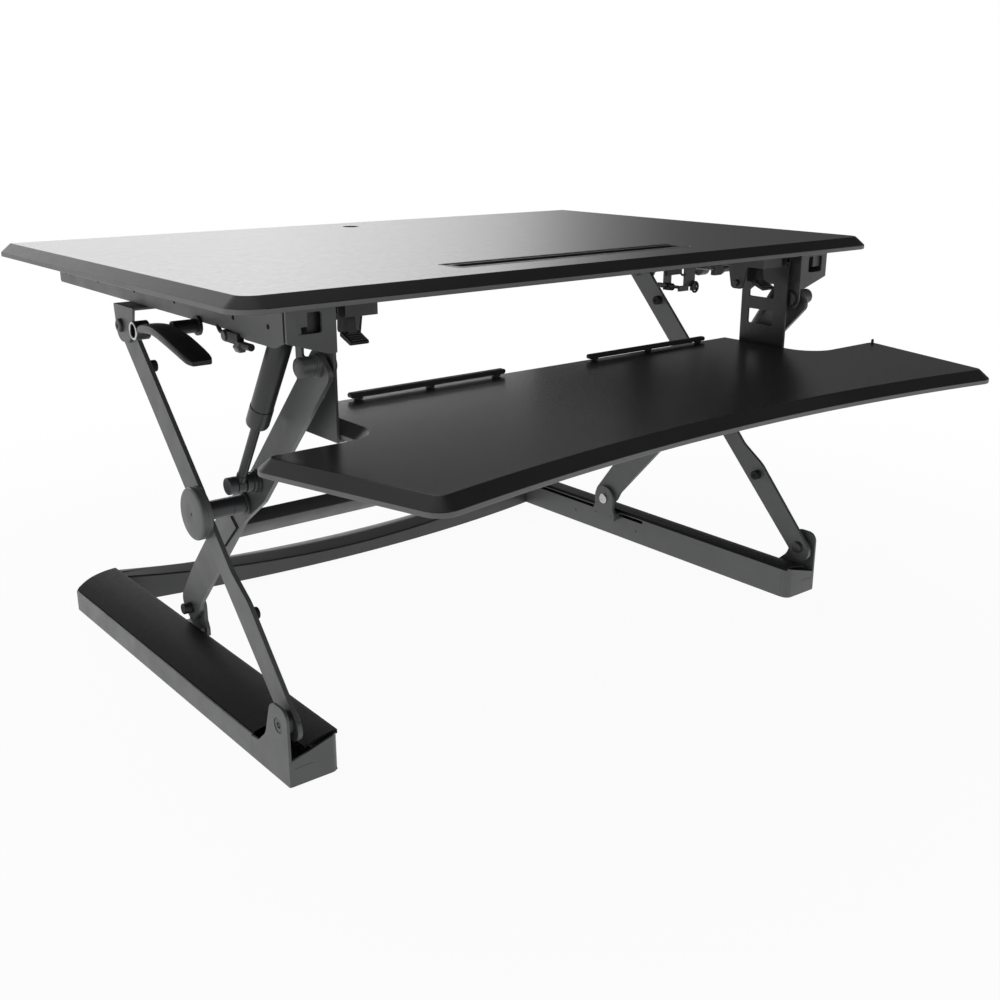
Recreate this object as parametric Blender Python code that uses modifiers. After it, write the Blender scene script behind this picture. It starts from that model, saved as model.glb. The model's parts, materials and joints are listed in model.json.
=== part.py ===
"""Standing desk converter on a pair of scissor arms, with a removable keyboard tray.

Metres, +Z up, +X to the user's right, +Y away from the user.  The origin is on the floor, in
the middle of the whole object.  Every y below is measured from the desktop's front edge, and
DESK_FRONT shifts it to the origin.  The object is built at its working height.
"""
from math import atan2, ceil, cos, hypot, pi, radians, sin

import bmesh
import bpy
from mathutils import Matrix, Vector

# ---- driving dimensions --------------------------------------------------------------------
DESK_FRONT = -0.19683         # y of the desktop's front edge, from the object's middle
GAP = 0.0003                  # left between pieces that touch

ARM_LENGTH = 0.4813           # between the two pivots at the ends of an arm
ARM_ANGLE = radians(46.75)    # of both arms, at the working height
FRONT_PIVOT_Y = 0.0401
LOW_PIVOT_Z = 0.0638
REAR_PIVOT_Y = FRONT_PIVOT_Y + ARM_LENGTH * cos(ARM_ANGLE)
HIGH_PIVOT_Z = LOW_PIVOT_Z + ARM_LENGTH * sin(ARM_ANGLE)
HUB_Y = (FRONT_PIVOT_Y + REAR_PIVOT_Y) / 2
HUB_Z = (LOW_PIVOT_Z + HIGH_PIVOT_Z) / 2

DESK_BOTTOM, DESK_TOP = 0.4731, 0.4882
DESK_HALF_FRONT, DESK_HALF_BACK, DESK_DEPTH = 0.450, 0.458, 0.607
EDGE_BAND, EDGE_CHAMFER = 0.0048, 0.0117
SLOT_HALF, SLOT_FRONT, SLOT_BACK, SLOT_DEPTH = 0.171, 0.059, 0.100, 0.0085
GROMMET_Y, GROMMET_R = 0.539, 0.011

TRAY_TOP = 0.355
TRAY_BOTTOM = TRAY_TOP - (DESK_TOP - DESK_BOTTOM)
TRAY_FRONT, TRAY_CURVE = -0.177, 0.245
TRAY_MIDDLE_HALF, TRAY_BACK = 0.330, 0.137
TRAY_WING_FRONT, TRAY_WING_BACK = (0.3980, -0.2155), (0.4555, -0.0060)   # outer corners

FOOT_IN, FOOT_OUT = 0.3573, 0.4149        # the foot's inner and outer faces, from the middle
FOOT_FRONT, FOOT_SEAM, FOOT_BACK = 0.0217, 0.100, 0.600
FOOT_BASE, FOOT_OUT_TOP, FOOT_IN_TOP = 0.002, 0.028, 0.0418
FOOT_WALL, COVER_WALL = 0.0024, 0.0022
FOOT_INNER_FRONT = 0.033      # where the rail's inner wall starts, behind the front clevis

SIDE_IN, SIDE_OUT = 0.3875, 0.390         # the steel side plates under the desktop
FRAME_TOP = DESK_BOTTOM - GAP
OUTER_ARM = (0.398, 0.403)                # near and far faces of each arm plate
INNER_ARM = (0.347, 0.352)
PIVOT_BORE, SLIDE_BORE, BOLT_BORE = 0.0083, 0.0064, 0.0054      # radii of the arms' holes

STUD_ALONG = 0.1965           # the gas spring's stud, along the inner arm from its upper pivot
STUD_Y = FRONT_PIVOT_Y + STUD_ALONG * cos(ARM_ANGLE)
STUD_Z = HIGH_PIVOT_Z - STUD_ALONG * sin(ARM_ANGLE)
SPRING_TOP_Y, SPRING_TOP_Z = FRONT_PIVOT_Y + 0.0163, HIGH_PIVOT_Z + 0.0403
SPRING_X = 0.3725
SPRING_LENGTH = hypot(SPRING_TOP_Y - STUD_Y, SPRING_TOP_Z - STUD_Z)
SPRING_ANGLE = atan2(SPRING_TOP_Z - STUD_Z, SPRING_TOP_Y - STUD_Y)

HANDLE_Y, HANDLE_Z = 0.205, 0.434
BRACKET_X = 0.332             # middle of the tray's hanging plates
LEVER_X, LEVER_Y, LEVER_Z = 0.302, 0.068, 0.4475
HANGER_FRONT, HANGER_BACK, HANGER_IN, HANGER_OUT = 0.041, 0.130, 0.2835, 0.3195

STEEL = ("powder_coated_steel", (0.085, 0.088, 0.088), 0.45, 0.55)
DARK_STEEL = ("dark_steel", (0.028, 0.028, 0.031), 0.42, 0.5)
ZINC = ("zinc_plated_steel", (0.55, 0.55, 0.54), 0.3, 1.0)
BOARD = ("black_laminate", (0.022, 0.022, 0.023), 0.4, 0.0)
BLACK = ("black_plastic", (0.012, 0.012, 0.014), 0.5, 0.0)
GREY = ("spring_tube_paint", (0.045, 0.047, 0.047), 0.38, 0.3)
RUBBER = ("black_rubber", (0.015, 0.015, 0.015), 0.85, 0.0)

YZ_PLANE = Matrix(((0, 0, 1), (1, 0, 0), (0, 1, 0)))     # an outline's x, y become y, z
XZ_PLANE = Matrix(((1, 0, 0), (0, 0, -1), (0, 1, 0)))    # an outline's x, y become x, z
SIDES = {"left": -1, "right": 1}

# One joint axis for each moving body: its pivot's y and z.
PIVOTS = {
    "base": (0.0, 0.0),
    "outer_arms": (FRONT_PIVOT_Y, LOW_PIVOT_Z),
    "inner_arms": (HUB_Y, HUB_Z),
    "desk": (FRONT_PIVOT_Y, HIGH_PIVOT_Z),
    "lower_carriages": (REAR_PIVOT_Y, LOW_PIVOT_Z),
    "upper_carriages": (REAR_PIVOT_Y, HIGH_PIVOT_Z),
    "spring_rods": (STUD_Y, STUD_Z),
    "spring_cylinders": (SPRING_TOP_Y, SPRING_TOP_Z),
    "handle_left": (HANDLE_Y, HANDLE_Z),
    "handle_right": (HANDLE_Y, HANDLE_Z),
    "tray": (FRONT_PIVOT_Y, TRAY_TOP),
    "lever_left": (LEVER_Y, LEVER_Z),
    "lever_right": (LEVER_Y, LEVER_Z),
}


# ---- scene, materials and bodies -----------------------------------------------------------
def clear_scene():
    for thing in list(bpy.data.objects):
        bpy.data.objects.remove(thing)


def make_collection(name):
    collection = bpy.data.collections.new(name)
    bpy.context.scene.collection.children.link(collection)
    return collection


def make_material(look):
    name, colour, roughness, metallic = look
    material = bpy.data.materials.get(name)
    if material is None:
        material = bpy.data.materials.new(name)
        material.use_nodes = True
        shader = material.node_tree.nodes["Principled BSDF"]
        shader.inputs["Base Color"].default_value = (*colour, 1.0)
        shader.inputs["Roughness"].default_value = roughness
        shader.inputs["Metallic"].default_value = metallic
    return material


def make_bodies():
    bodies = {}
    for name, (y, z) in PIVOTS.items():
        empty = bpy.data.objects.new(name + "_axis", None)
        empty.location = (0, y + DESK_FRONT, z)
        PARTS.objects.link(empty)
        bodies[name] = empty
    return bodies


def attach(piece, body, look, name):
    """Name a finished piece, give it its material and hang it on its body's axis."""
    piece.name = name
    piece.data.name = name
    piece.data.materials.clear()
    piece.data.materials.append(make_material(look))
    piece.data.shade_smooth()
    piece.data.set_sharp_from_angle(angle=radians(32))
    piece.parent = BODIES[body]
    piece.location = piece.location + Vector((0, DESK_FRONT, 0)) - BODIES[body].location
    return piece


def new_piece(mesh, location=(0, 0, 0), turn=None):
    piece = bpy.data.objects.new("piece", mesh)
    piece.location = location
    if turn is not None:
        piece.rotation_euler = turn.to_euler()
    PARTS.objects.link(piece)
    return piece


# ---- outlines ------------------------------------------------------------------------------
def rounded(corners, steps=4):
    """Outline through corners (x, y, radius), each rounded by an arc of its own radius."""
    points = []
    count = len(corners)
    for i, (x, y, radius) in enumerate(corners):
        here = Vector((x, y))
        to_last = (Vector(corners[i - 1][:2]) - here).normalized()
        to_next = (Vector(corners[(i + 1) % count][:2]) - here).normalized()
        if radius == 0:
            points.append(here)
            continue
        half = to_last.angle(to_next) / 2
        middle = here + (to_last + to_next).normalized() * (radius / sin(half))
        start = here + to_last * (radius * cos(half) / sin(half)) - middle
        sweep = start.angle_signed(here + to_next * (radius * cos(half) / sin(half)) - middle)
        for step in range(steps + 1):
            angle = -sweep * step / steps
            points.append(middle + Matrix.Rotation(angle, 2) @ start)
    return [(p.x, p.y) for p in points]


def circle(x, y, radius, segments=16):
    return [(x + radius * cos(2 * pi * i / segments), y + radius * sin(2 * pi * i / segments))
            for i in range(segments)]


def rectangle(x0, x1, y0, y1):
    return [(x0, y0), (x1, y0), (x1, y1), (x0, y1)]


def mirrored(half):
    """A whole outline from its right half, which starts and ends on the middle line."""
    return half + [(-x, y) for x, y in reversed(half) if x > 1e-6]


def plate(loops, thickness, middle, turn):
    """Flat plate from an outline and its holes, centred on its own plane."""
    curve = bpy.data.curves.new("outline", "CURVE")
    curve.dimensions = "2D"
    curve.fill_mode = "BOTH"
    curve.extrude = thickness / 2
    for loop in loops:
        spline = curve.splines.new("POLY")
        spline.points.add(len(loop) - 1)
        spline.use_cyclic_u = True
        for point, (x, y) in zip(spline.points, loop):
            point.co = (x, y, 0, 1)
    return solid_from_curve(curve, middle, turn)


def solid_from_curve(curve, location, turn):
    guide = bpy.data.objects.new("guide", curve)
    PARTS.objects.link(guide)
    bpy.context.view_layer.update()
    evaluated = guide.evaluated_get(bpy.context.evaluated_depsgraph_get())
    mesh = bpy.data.meshes.new_from_object(evaluated)
    bpy.data.objects.remove(guide)
    shape = bmesh.new()
    shape.from_mesh(mesh)
    bmesh.ops.remove_doubles(shape, verts=shape.verts, dist=1e-6)
    bmesh.ops.recalc_face_normals(shape, faces=shape.faces)
    shape.to_mesh(mesh)
    shape.free()
    return new_piece(mesh, location, turn)


# ---- solids --------------------------------------------------------------------------------
def side_plate(side, loops, near, far, at=(0, 0)):
    """Plate across the X axis, between two distances from the middle plane."""
    middle = (side * (near + far) / 2, at[0], at[1])
    return plate(loops, far - near, middle, YZ_PLANE)


def bar(side, outline, y0, y1, holes=()):
    """A section (distance from the middle plane, height), drawn out along Y."""
    loops = [[(side * x, z) for x, z in loop] for loop in (outline, *holes)]
    return plate(loops, y1 - y0, (0, (y0 + y1) / 2, 0), XZ_PLANE)


def block(x0, x1, y0, y1, z0, z1):
    shape = bmesh.new()
    bmesh.ops.create_cube(shape, size=1.0)
    bmesh.ops.scale(shape, vec=(abs(x1 - x0), y1 - y0, z1 - z0), verts=shape.verts)
    mesh = bpy.data.meshes.new("block")
    shape.to_mesh(mesh)
    shape.free()
    return new_piece(mesh, ((x0 + x1) / 2, (y0 + y1) / 2, (z0 + z1) / 2))


def rod(side, radius, near, far, y, z, segments=20):
    """Cylinder across the X axis."""
    shape = bmesh.new()
    bmesh.ops.create_cone(shape, cap_ends=True, segments=segments, radius1=radius,
                          radius2=radius, depth=far - near)
    mesh = bpy.data.meshes.new("rod")
    shape.to_mesh(mesh)
    shape.free()
    turn = Matrix.Rotation(side * pi / 2, 3, "Y")
    return new_piece(mesh, (side * (near + far) / 2, y, z), turn)


def turned(profile, location, turn, segments=24, closed=False):
    """Lathe a profile of (height, radius), which runs from the top down the outer side."""
    shape = bmesh.new()
    points = [shape.verts.new((radius, 0, height)) for height, radius in profile]
    pairs = list(zip(points, points[1:]))
    if closed:
        pairs.append((points[-1], points[0]))
    for pair in pairs:
        shape.edges.new(pair)
    mesh = bpy.data.meshes.new("turned")
    shape.to_mesh(mesh)
    shape.free()
    piece = new_piece(mesh, location, turn)
    screw = piece.modifiers.new("turn", "SCREW")
    screw.steps = screw.render_steps = segments
    screw.use_merge_vertices = True
    screw.merge_threshold = 1e-5
    return piece


def stepped_pin(side, steps, y, z, segments=16):
    """Solid pin across the X axis from (near, far, radius) steps, listed outwards."""
    profile = [(steps[-1][1], 0.0)]
    for near, far, radius in reversed(steps):
        profile += [(far, radius), (near, radius)]
    profile.append((steps[0][0], 0.0))
    return turned(profile, (0, y, z), Matrix.Rotation(side * pi / 2, 3, "Y"), segments)


def combine(first, others, operation="UNION", solver="EXACT"):
    """Join other solids to the first, or cut them from it."""
    for other in others:
        change = first.modifiers.new("combine", "BOOLEAN")
        change.operation = operation
        change.solver = solver
        change.object = other
        bpy.context.view_layer.update()
        evaluated = first.evaluated_get(bpy.context.evaluated_depsgraph_get())
        mesh = bpy.data.meshes.new_from_object(evaluated)
        first.modifiers.clear()
        first.data = mesh
        bpy.data.objects.remove(other)
    return first


def loft(rings, location=(0, 0, 0)):
    """Closed solid through rings of equal length, with flat ends."""
    shape = bmesh.new()
    loops = [[shape.verts.new(point) for point in ring] for ring in rings]
    for low, high in zip(loops, loops[1:]):
        for i in range(len(low)):
            j = (i + 1) % len(low)
            shape.faces.new((low[i], low[j], high[j], high[i]))
    shape.faces.new(loops[0])
    shape.faces.new(loops[-1])
    bmesh.ops.recalc_face_normals(shape, faces=shape.faces)
    mesh = bpy.data.meshes.new("loft")
    shape.to_mesh(mesh)
    shape.free()
    return new_piece(mesh, location)


def inset(outline, distance):
    """The outline moved inwards by a distance, corner by corner."""
    moved = []
    count = len(outline)
    for i, point in enumerate(outline):
        here = Vector(point)
        before = (here - Vector(outline[i - 1])).normalized()
        after = (Vector(outline[(i + 1) % count]) - here).normalized()
        normal = Vector((-before.y - after.y, before.x + after.x)).normalized()
        stretch = distance / normal.dot(Vector((-before.y, before.x)))
        moved.append(tuple(here + normal * stretch))
    return moved


def board(outline, bottom, top):
    """Laminated board: an upright band, then a chamfer all round the upper edge."""
    rings = [(outline, bottom), (outline, bottom + EDGE_BAND), (inset(outline, EDGE_CHAMFER), top)]
    return loft([[(x, y, z) for x, y in ring] for ring, z in rings])


# ---- base ----------------------------------------------------------------------------------
def foot_plan(side, near, far, front, back, radius):
    corners = [(near, front, 0), (far, front, 0), (far, back, radius), (near, back, radius)]
    return [(side * x, y) for x, y in rounded(corners)]


def cover_line(drop=0.0):
    """The foot's crowned upper side, from its outer to its inner edge."""
    crown = [(0.4122, 0.0290), (0.408, 0.0325), (0.400, 0.0378), (0.391, 0.0418),
             (0.381, 0.0445), (0.371, 0.0461), (0.3600, 0.0470)]
    return [(x, z - drop) for x, z in crown]


def make_foot(side, word):
    """Open steel channel with a slot in its inner wall for the lower carriage."""
    tall = FOOT_IN_TOP + 0.010
    wall_out = FOOT_IN + FOOT_WALL - GAP
    plan = rounded([(FOOT_IN, FOOT_INNER_FRONT, 0), (wall_out, FOOT_INNER_FRONT, 0),
                    (wall_out, FOOT_SEAM + GAP, 0), (FOOT_OUT, FOOT_SEAM + GAP, 0),
                    (FOOT_OUT, FOOT_BACK, 0.006), (FOOT_IN, FOOT_BACK, 0.006)])
    rail = plate([[(side * x, y) for x, y in plan]], tall - FOOT_BASE,
                 (0, 0, (tall + FOOT_BASE) / 2), Matrix.Identity(3))
    hollow = plate([foot_plan(side, FOOT_IN + FOOT_WALL, FOOT_OUT - FOOT_WALL, 0.05,
                              FOOT_BACK - FOOT_WALL, 0.004)],
                   tall, (0, 0, FOOT_BASE + FOOT_WALL + tall / 2), Matrix.Identity(3))
    above = [(0.43, FOOT_OUT_TOP), (0.4124, FOOT_OUT_TOP), *cover_line(COVER_WALL + GAP),
             (0.3600, FOOT_IN_TOP), (0.34, FOOT_IN_TOP), (0.34, 0.08), (0.43, 0.08)]
    lid_room = bar(side, above, 0.02, 0.65)
    slot = block(side * 0.350, side * 0.3605, 0.300, 0.5585, 0.0355, 0.0405)
    combine(rail, [hollow, lid_room, slot], "DIFFERENCE")
    attach(rail, "base", STEEL, "base_rail_" + word)


def make_foot_cover(side, word):
    """Crowned plastic strip over the whole foot, notched around the outer ear."""
    skirt = [(FOOT_IN, 0.0466), (FOOT_IN, FOOT_IN_TOP + GAP), (0.3597, FOOT_IN_TOP + GAP)]
    under = list(reversed(cover_line(COVER_WALL)))
    cover = bar(side, cover_line() + skirt + under, 0.0252, FOOT_BACK + 0.01)
    plan = plate([foot_plan(side, FOOT_IN - 0.01, FOOT_OUT, 0.0, FOOT_BACK, 0.006)], 0.2,
                 (0, 0, 0.05), Matrix.Identity(3))
    notch = side_plate(side, [rounded([(0.010, 0.0, 0), (FOOT_SEAM + GAP, 0.0, 0),
                                       (FOOT_SEAM + GAP, 0.030, 0.0), (0.090, 0.040, 0.008),
                                       (0.085, 0.060, 0), (0.010, 0.060, 0)])], 0.3955, 0.430)
    combine(cover, [plan], "INTERSECT")
    combine(cover, [notch], "DIFFERENCE")
    attach(cover, "base", BLACK, "foot_cover_" + word)


def make_clevis(side, word):
    """Front end of the foot: an outer ear for the arm's pivot, a front wall and an inner wall."""
    ear_front = FOOT_FRONT + GAP
    ear = rounded([(ear_front, FOOT_BASE, 0.001), (FOOT_SEAM, FOOT_BASE, 0),
                   (FOOT_SEAM, 0.027, 0), (0.086, 0.0275, 0.006), (0.068, 0.044, 0.02),
                   (0.055, 0.0850, 0.0135), (ear_front, 0.0850, 0.0125)])
    outer = side_plate(side, [ear, circle(FRONT_PIVOT_Y, LOW_PIVOT_Z, PIVOT_BORE, 20)],
                       FOOT_OUT - 0.0030, FOOT_OUT)
    front = bar(side, [(0.4138, FOOT_BASE + GAP), (0.4138, 0.0293), (FOOT_IN, 0.0452),
                       (FOOT_IN, FOOT_BASE + GAP)], FOOT_FRONT, FOOT_FRONT + 0.0030)
    inner = block(side * (FOOT_IN + GAP), side * (FOOT_IN + FOOT_WALL), FOOT_FRONT + 0.0012,
                  FOOT_INNER_FRONT - GAP, FOOT_BASE + 2 * GAP, FOOT_IN_TOP - GAP)
    floor = block(side * (FOOT_IN + FOOT_WALL + GAP), side * (FOOT_OUT - 0.0012), FOOT_FRONT + 0.0016,
                  FOOT_SEAM - 2 * GAP, FOOT_BASE + 3 * GAP, FOOT_BASE + FOOT_WALL + GAP)
    combine(outer, [front, inner, floor])
    attach(outer, "base", STEEL, "front_clevis_" + word)


def make_foot_details(side, word):
    pin = stepped_pin(side, [(0.3935, 0.3977, 0.0075), (0.3977, 0.4034, 0.0079),
                             (0.4034, 0.4115, 0.0120), (0.4115, 0.4146, 0.0079)],
                      FRONT_PIVOT_Y, LOW_PIVOT_Z)
    attach(pin, "base", DARK_STEEL, "lower_pivot_pin_" + word)
    strip = rounded([(0.364, 0.035, 0.004), (0.409, 0.035, 0.004), (0.409, 0.585, 0.004),
                     (0.364, 0.585, 0.004)], 2)
    pad = plate([[(side * x, y) for x, y in strip]], FOOT_BASE - GAP,
                (0, 0, (FOOT_BASE - GAP) / 2), Matrix.Identity(3))
    attach(pad, "base", RUBBER, "foot_pad_" + word)


def beam_front(x):
    return 0.541 + 0.285 * x * x


def make_rear_beam():
    """Bowed cross beam between the feet: an upright channel under a leaning cap."""
    half, stations = FOOT_IN - GAP, 16
    lower, upper = [], []
    for i in range(stations + 1):
        x = half * (2 * i / stations - 1)
        front, back = beam_front(x), 0.575 + 0.12 * x * x
        seam, ridge = 0.020 + 0.156 * x * x, 0.030 + 0.118 * x * x
        lower.append([(x, front, FOOT_BASE), (x, back, FOOT_BASE),
                      (x, back, seam), (x, front, seam)])
        rise = seam + 0.0005
        upper.append([(x, front + 0.0008, rise), (x, back, rise), (x, back, ridge - 0.002),
                      (x, front + 0.0160, ridge)])
    attach(loft(lower), "base", STEEL, "rear_beam")
    attach(loft(upper), "base", STEEL, "rear_beam_cap")


# ---- arms ----------------------------------------------------------------------------------
def make_outer_arm(side, word):
    """Flat arm from the foot's front pivot up to the upper carriage."""
    low_end, high_end = -0.0205, ARM_LENGTH + 0.0180
    outline = rounded([(low_end, -0.0145, 0.0140), (0.190, -0.0158, 0.2), (0.300, -0.0152, 0.2),
                       (high_end, -0.0155, 0.0150), (high_end, 0.0165, 0.0150),
                       (0.255, 0.0168, 0.03), (0.228, 0.0100, 0.03), (0.165, 0.0090, 0.05),
                       (0.125, 0.0178, 0.05), (low_end, 0.0140, 0.0140)])
    holes = [circle(0, 0, PIVOT_BORE, 20), circle(ARM_LENGTH / 2, 0, PIVOT_BORE, 20),
             circle(ARM_LENGTH, 0, BOLT_BORE)]
    middle = (side * sum(OUTER_ARM) / 2, FRONT_PIVOT_Y, LOW_PIVOT_Z)
    turn = Matrix.Rotation(ARM_ANGLE, 3, "X") @ YZ_PLANE
    arm = plate([outline, *holes], OUTER_ARM[1] - OUTER_ARM[0], middle, turn)
    attach(arm, "outer_arms", STEEL, "outer_arm_" + word)

    disc = turned([(0.4147, 0.0), (0.4147, 0.0266), (0.4142, 0.0278), (0.4130, 0.0283),
                   (0.4033, 0.0283), (0.4033, 0.0083), (0.4070, 0.0083), (0.4070, 0.0)],
                  (0, HUB_Y, HUB_Z), Matrix.Rotation(side * pi / 2, 3, "Y"), 32)
    attach(disc, "outer_arms", STEEL, "hub_disc_" + word)

    for place, along, across in (("lower", 0.117, 0.003), ("upper", 0.420, 0.007)):
        y = FRONT_PIVOT_Y + along * cos(ARM_ANGLE) - across * sin(ARM_ANGLE)
        z = LOW_PIVOT_Z + along * sin(ARM_ANGLE) + across * cos(ARM_ANGLE)
        bumper = stepped_pin(side, [(0.3895, 0.3975, 0.0065)], y, z, 16)
        attach(bumper, "outer_arms", RUBBER, "arm_bumper_%s_%s" % (place, word))


def inner_arm_point(along, across):
    """y and z of a point on the inner arms, from their upper pivot."""
    return (FRONT_PIVOT_Y + along * cos(ARM_ANGLE) + across * sin(ARM_ANGLE),
            HIGH_PIVOT_Z - along * sin(ARM_ANGLE) + across * cos(ARM_ANGLE))


def make_inner_arm(side, word):
    """Flat arm from the desk's front pivot down to the lower carriage, with a hinge barrel."""
    high_end, low_end = -0.0105, ARM_LENGTH + 0.0178
    outline = rounded([(high_end, -0.0215, 0.0100), (0.205, -0.0225, 0.03),
                       (0.262, -0.0110, 0.05), (0.452, -0.0110, 0.02), (0.466, -0.0148, 0.01),
                       (low_end, -0.0142, 0.0140), (low_end, 0.0235, 0.0150),
                       (0.430, 0.0298, 0.05), (0.285, 0.0300, 0.05), (0.235, 0.0155, 0.05),
                       (high_end, 0.0160, 0.0100)])
    holes = [circle(ARM_LENGTH / 2, 0, PIVOT_BORE, 20), circle(ARM_LENGTH, 0, SLIDE_BORE)]
    middle = (side * sum(INNER_ARM) / 2, FRONT_PIVOT_Y, HIGH_PIVOT_Z)
    turn = Matrix.Rotation(-ARM_ANGLE, 3, "X") @ YZ_PLANE
    arm = plate([outline, *holes], INNER_ARM[1] - INNER_ARM[0], middle, turn)
    bore = rod(side, SLIDE_BORE, 0.340, 0.380, FRONT_PIVOT_Y, HIGH_PIVOT_Z)
    collar = rod(side, 0.0112, INNER_ARM[1] - 0.001, 0.3555, FRONT_PIVOT_Y, HIGH_PIVOT_Z, 24)
    barrel = rod(side, 0.0095, INNER_ARM[1] - 0.002, 0.3724, FRONT_PIVOT_Y, HIGH_PIVOT_Z, 24)
    combine(arm, [collar, barrel])
    combine(arm, [bore], "DIFFERENCE")
    attach(arm, "inner_arms", STEEL, "inner_arm_" + word)

    axle = stepped_pin(side, [(0.3400, 0.3467, 0.0115), (0.3467, 0.3523, 0.0080),
                              (0.3523, 0.3560, 0.0125), (0.3560, 0.3977, 0.0103),
                              (0.3977, 0.4066, 0.0080)], HUB_Y, HUB_Z, 22)
    attach(axle, "inner_arms", DARK_STEEL, "centre_axle_" + word)

    stud = stepped_pin(side, [(0.3523, 0.3560, 0.0125), (0.3560, 0.3600, 0.0110),
                              (0.3600, 0.3668, 0.0095), (0.3668, 0.3780, 0.0055),
                              (0.3780, 0.3870, 0.0092)], STUD_Y, STUD_Z)
    attach(stud, "inner_arms", DARK_STEEL, "spring_stud_" + word)


def make_cross_beam():
    """Rectangular tube that ties the two inner arms together."""
    along, half_length, half_height, wall = 0.290, 0.014, 0.0085, 0.002
    tube = [rectangle(-half_length, half_length, -half_height, half_height),
            rectangle(wall - half_length, half_length - wall, wall - half_height,
                      half_height - wall)]
    y, z = inner_arm_point(along, 0)
    turn = Matrix.Rotation(-ARM_ANGLE, 3, "X") @ YZ_PLANE
    beam = plate(tube, 2 * (INNER_ARM[0] - GAP), (0, y, z), turn)
    attach(beam, "inner_arms", STEEL, "inner_cross_beam")


# ---- carriages -----------------------------------------------------------------------------
def make_lower_carriage(side, word):
    """Lug beside the inner arm's lower end, with a tongue into the foot and a sliding shoe."""
    y = REAR_PIVOT_Y
    lug = side_plate(side, [rounded([(y - 0.024, 0.0305, 0.002), (y + 0.024, 0.0305, 0.002),
                                     (y + 0.024, 0.0410, 0.004), (y + 0.0195, 0.050, 0.010),
                                     (y + 0.0195, 0.0835, 0.0180), (y - 0.0195, 0.0835, 0.0180),
                                     (y - 0.0195, 0.050, 0.010), (y - 0.024, 0.0410, 0.004)]),
                            circle(y, LOW_PIVOT_Z, SLIDE_BORE)], 0.3405, 0.3455)
    base = block(side * 0.3445, side * 0.3566, y - 0.0195, y + 0.0195, 0.0310, 0.0405)
    tongue = block(side * 0.3555, side * 0.3620, y - 0.0185, y + 0.0185, 0.0360, 0.0400)
    shoe = block(side * 0.3605, side * 0.3720, y - 0.0260, y + 0.0260, 0.0060, 0.0410)
    combine(lug, [base, tongue, shoe])
    attach(lug, "lower_carriages", STEEL, "lower_carriage_" + word)
    pin = stepped_pin(side, [(0.3380, 0.3402, 0.0078), (0.3402, 0.3524, 0.0060),
                             (0.3524, 0.3637, 0.0068)], y, LOW_PIVOT_Z)
    attach(pin, "lower_carriages", ZINC, "lower_slide_pin_" + word)


def make_upper_carriage(side, word):
    """Ear outside the outer arm's top, hooked over the side frame's lower flange."""
    y = REAR_PIVOT_Y
    ear = side_plate(side, [rounded([(y - 0.037, 0.4370, 0.001), (y - 0.032, 0.4180, 0.010),
                                     (y - 0.0205, 0.3962, 0.0155), (y + 0.0125, 0.3962, 0.0155),
                                     (y + 0.0165, 0.4370, 0.001)]),
                            circle(y, HIGH_PIVOT_Z, BOLT_BORE)], 0.4034, 0.4064)
    hook = [(0.4049, 0.4343), (0.3765, 0.4343), (0.3765, 0.4428), (0.3862, 0.4428),
            (0.3862, 0.4406), (0.3785, 0.4406), (0.3785, 0.4370), (0.4049, 0.4370)]
    combine(ear, [bar(side, hook, y - 0.0365, y + 0.0160)])
    attach(ear, "upper_carriages", STEEL, "upper_carriage_" + word)
    bolt = stepped_pin(side, [(0.3925, 0.3977, 0.0080), (0.3977, 0.4067, 0.0050),
                              (0.4067, 0.4108, 0.0075)], y, HIGH_PIVOT_Z)
    attach(bolt, "upper_carriages", DARK_STEEL, "upper_slide_bolt_" + word)


# ---- gas springs ---------------------------------------------------------------------------
def make_gas_spring(side, word):
    """Local +Z runs up the spring, from the stud on the arm to the eye under the desk."""
    turn = Matrix.Rotation(SPRING_ANGLE - pi / 2, 3, "X")
    foot = (side * SPRING_X, STUD_Y, STUD_Z)
    tube_end = SPRING_LENGTH - 0.1316
    shaft = turned([(tube_end + 0.036, 0.0), (tube_end + 0.036, 0.0050), (0.004, 0.0050),
                    (0.004, 0.0)], foot, turn, 16)
    eye = rod(side, 0.0090, SPRING_X - 0.0045, SPRING_X + 0.0045, STUD_Y, STUD_Z)
    hole = rod(side, 0.0058, SPRING_X - 0.010, SPRING_X + 0.010, STUD_Y, STUD_Z)
    bpy.context.view_layer.update()
    combine(shaft, [eye])
    combine(shaft, [hole], "DIFFERENCE")
    attach(shaft, "spring_rods", GREY, "gas_rod_" + word)

    top = SPRING_LENGTH
    tube = turned([(top + 0.0090, 0.0), (top + 0.0090, 0.0060), (top - 0.0090, 0.0062),
                   (top - 0.0120, 0.0105), (top - 0.0135, 0.0115), (tube_end + 0.0255, 0.0115),
                   (tube_end + 0.0250, 0.0112), (tube_end + 0.0245, 0.0119),
                   (tube_end + 0.0030, 0.0119), (tube_end, 0.0095), (tube_end, 0.0053),
                   (tube_end + 0.0760, 0.0053), (tube_end + 0.0760, 0.0)], foot, turn, 20)
    attach(tube, "spring_cylinders", GREY, "gas_cylinder_" + word)


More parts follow.
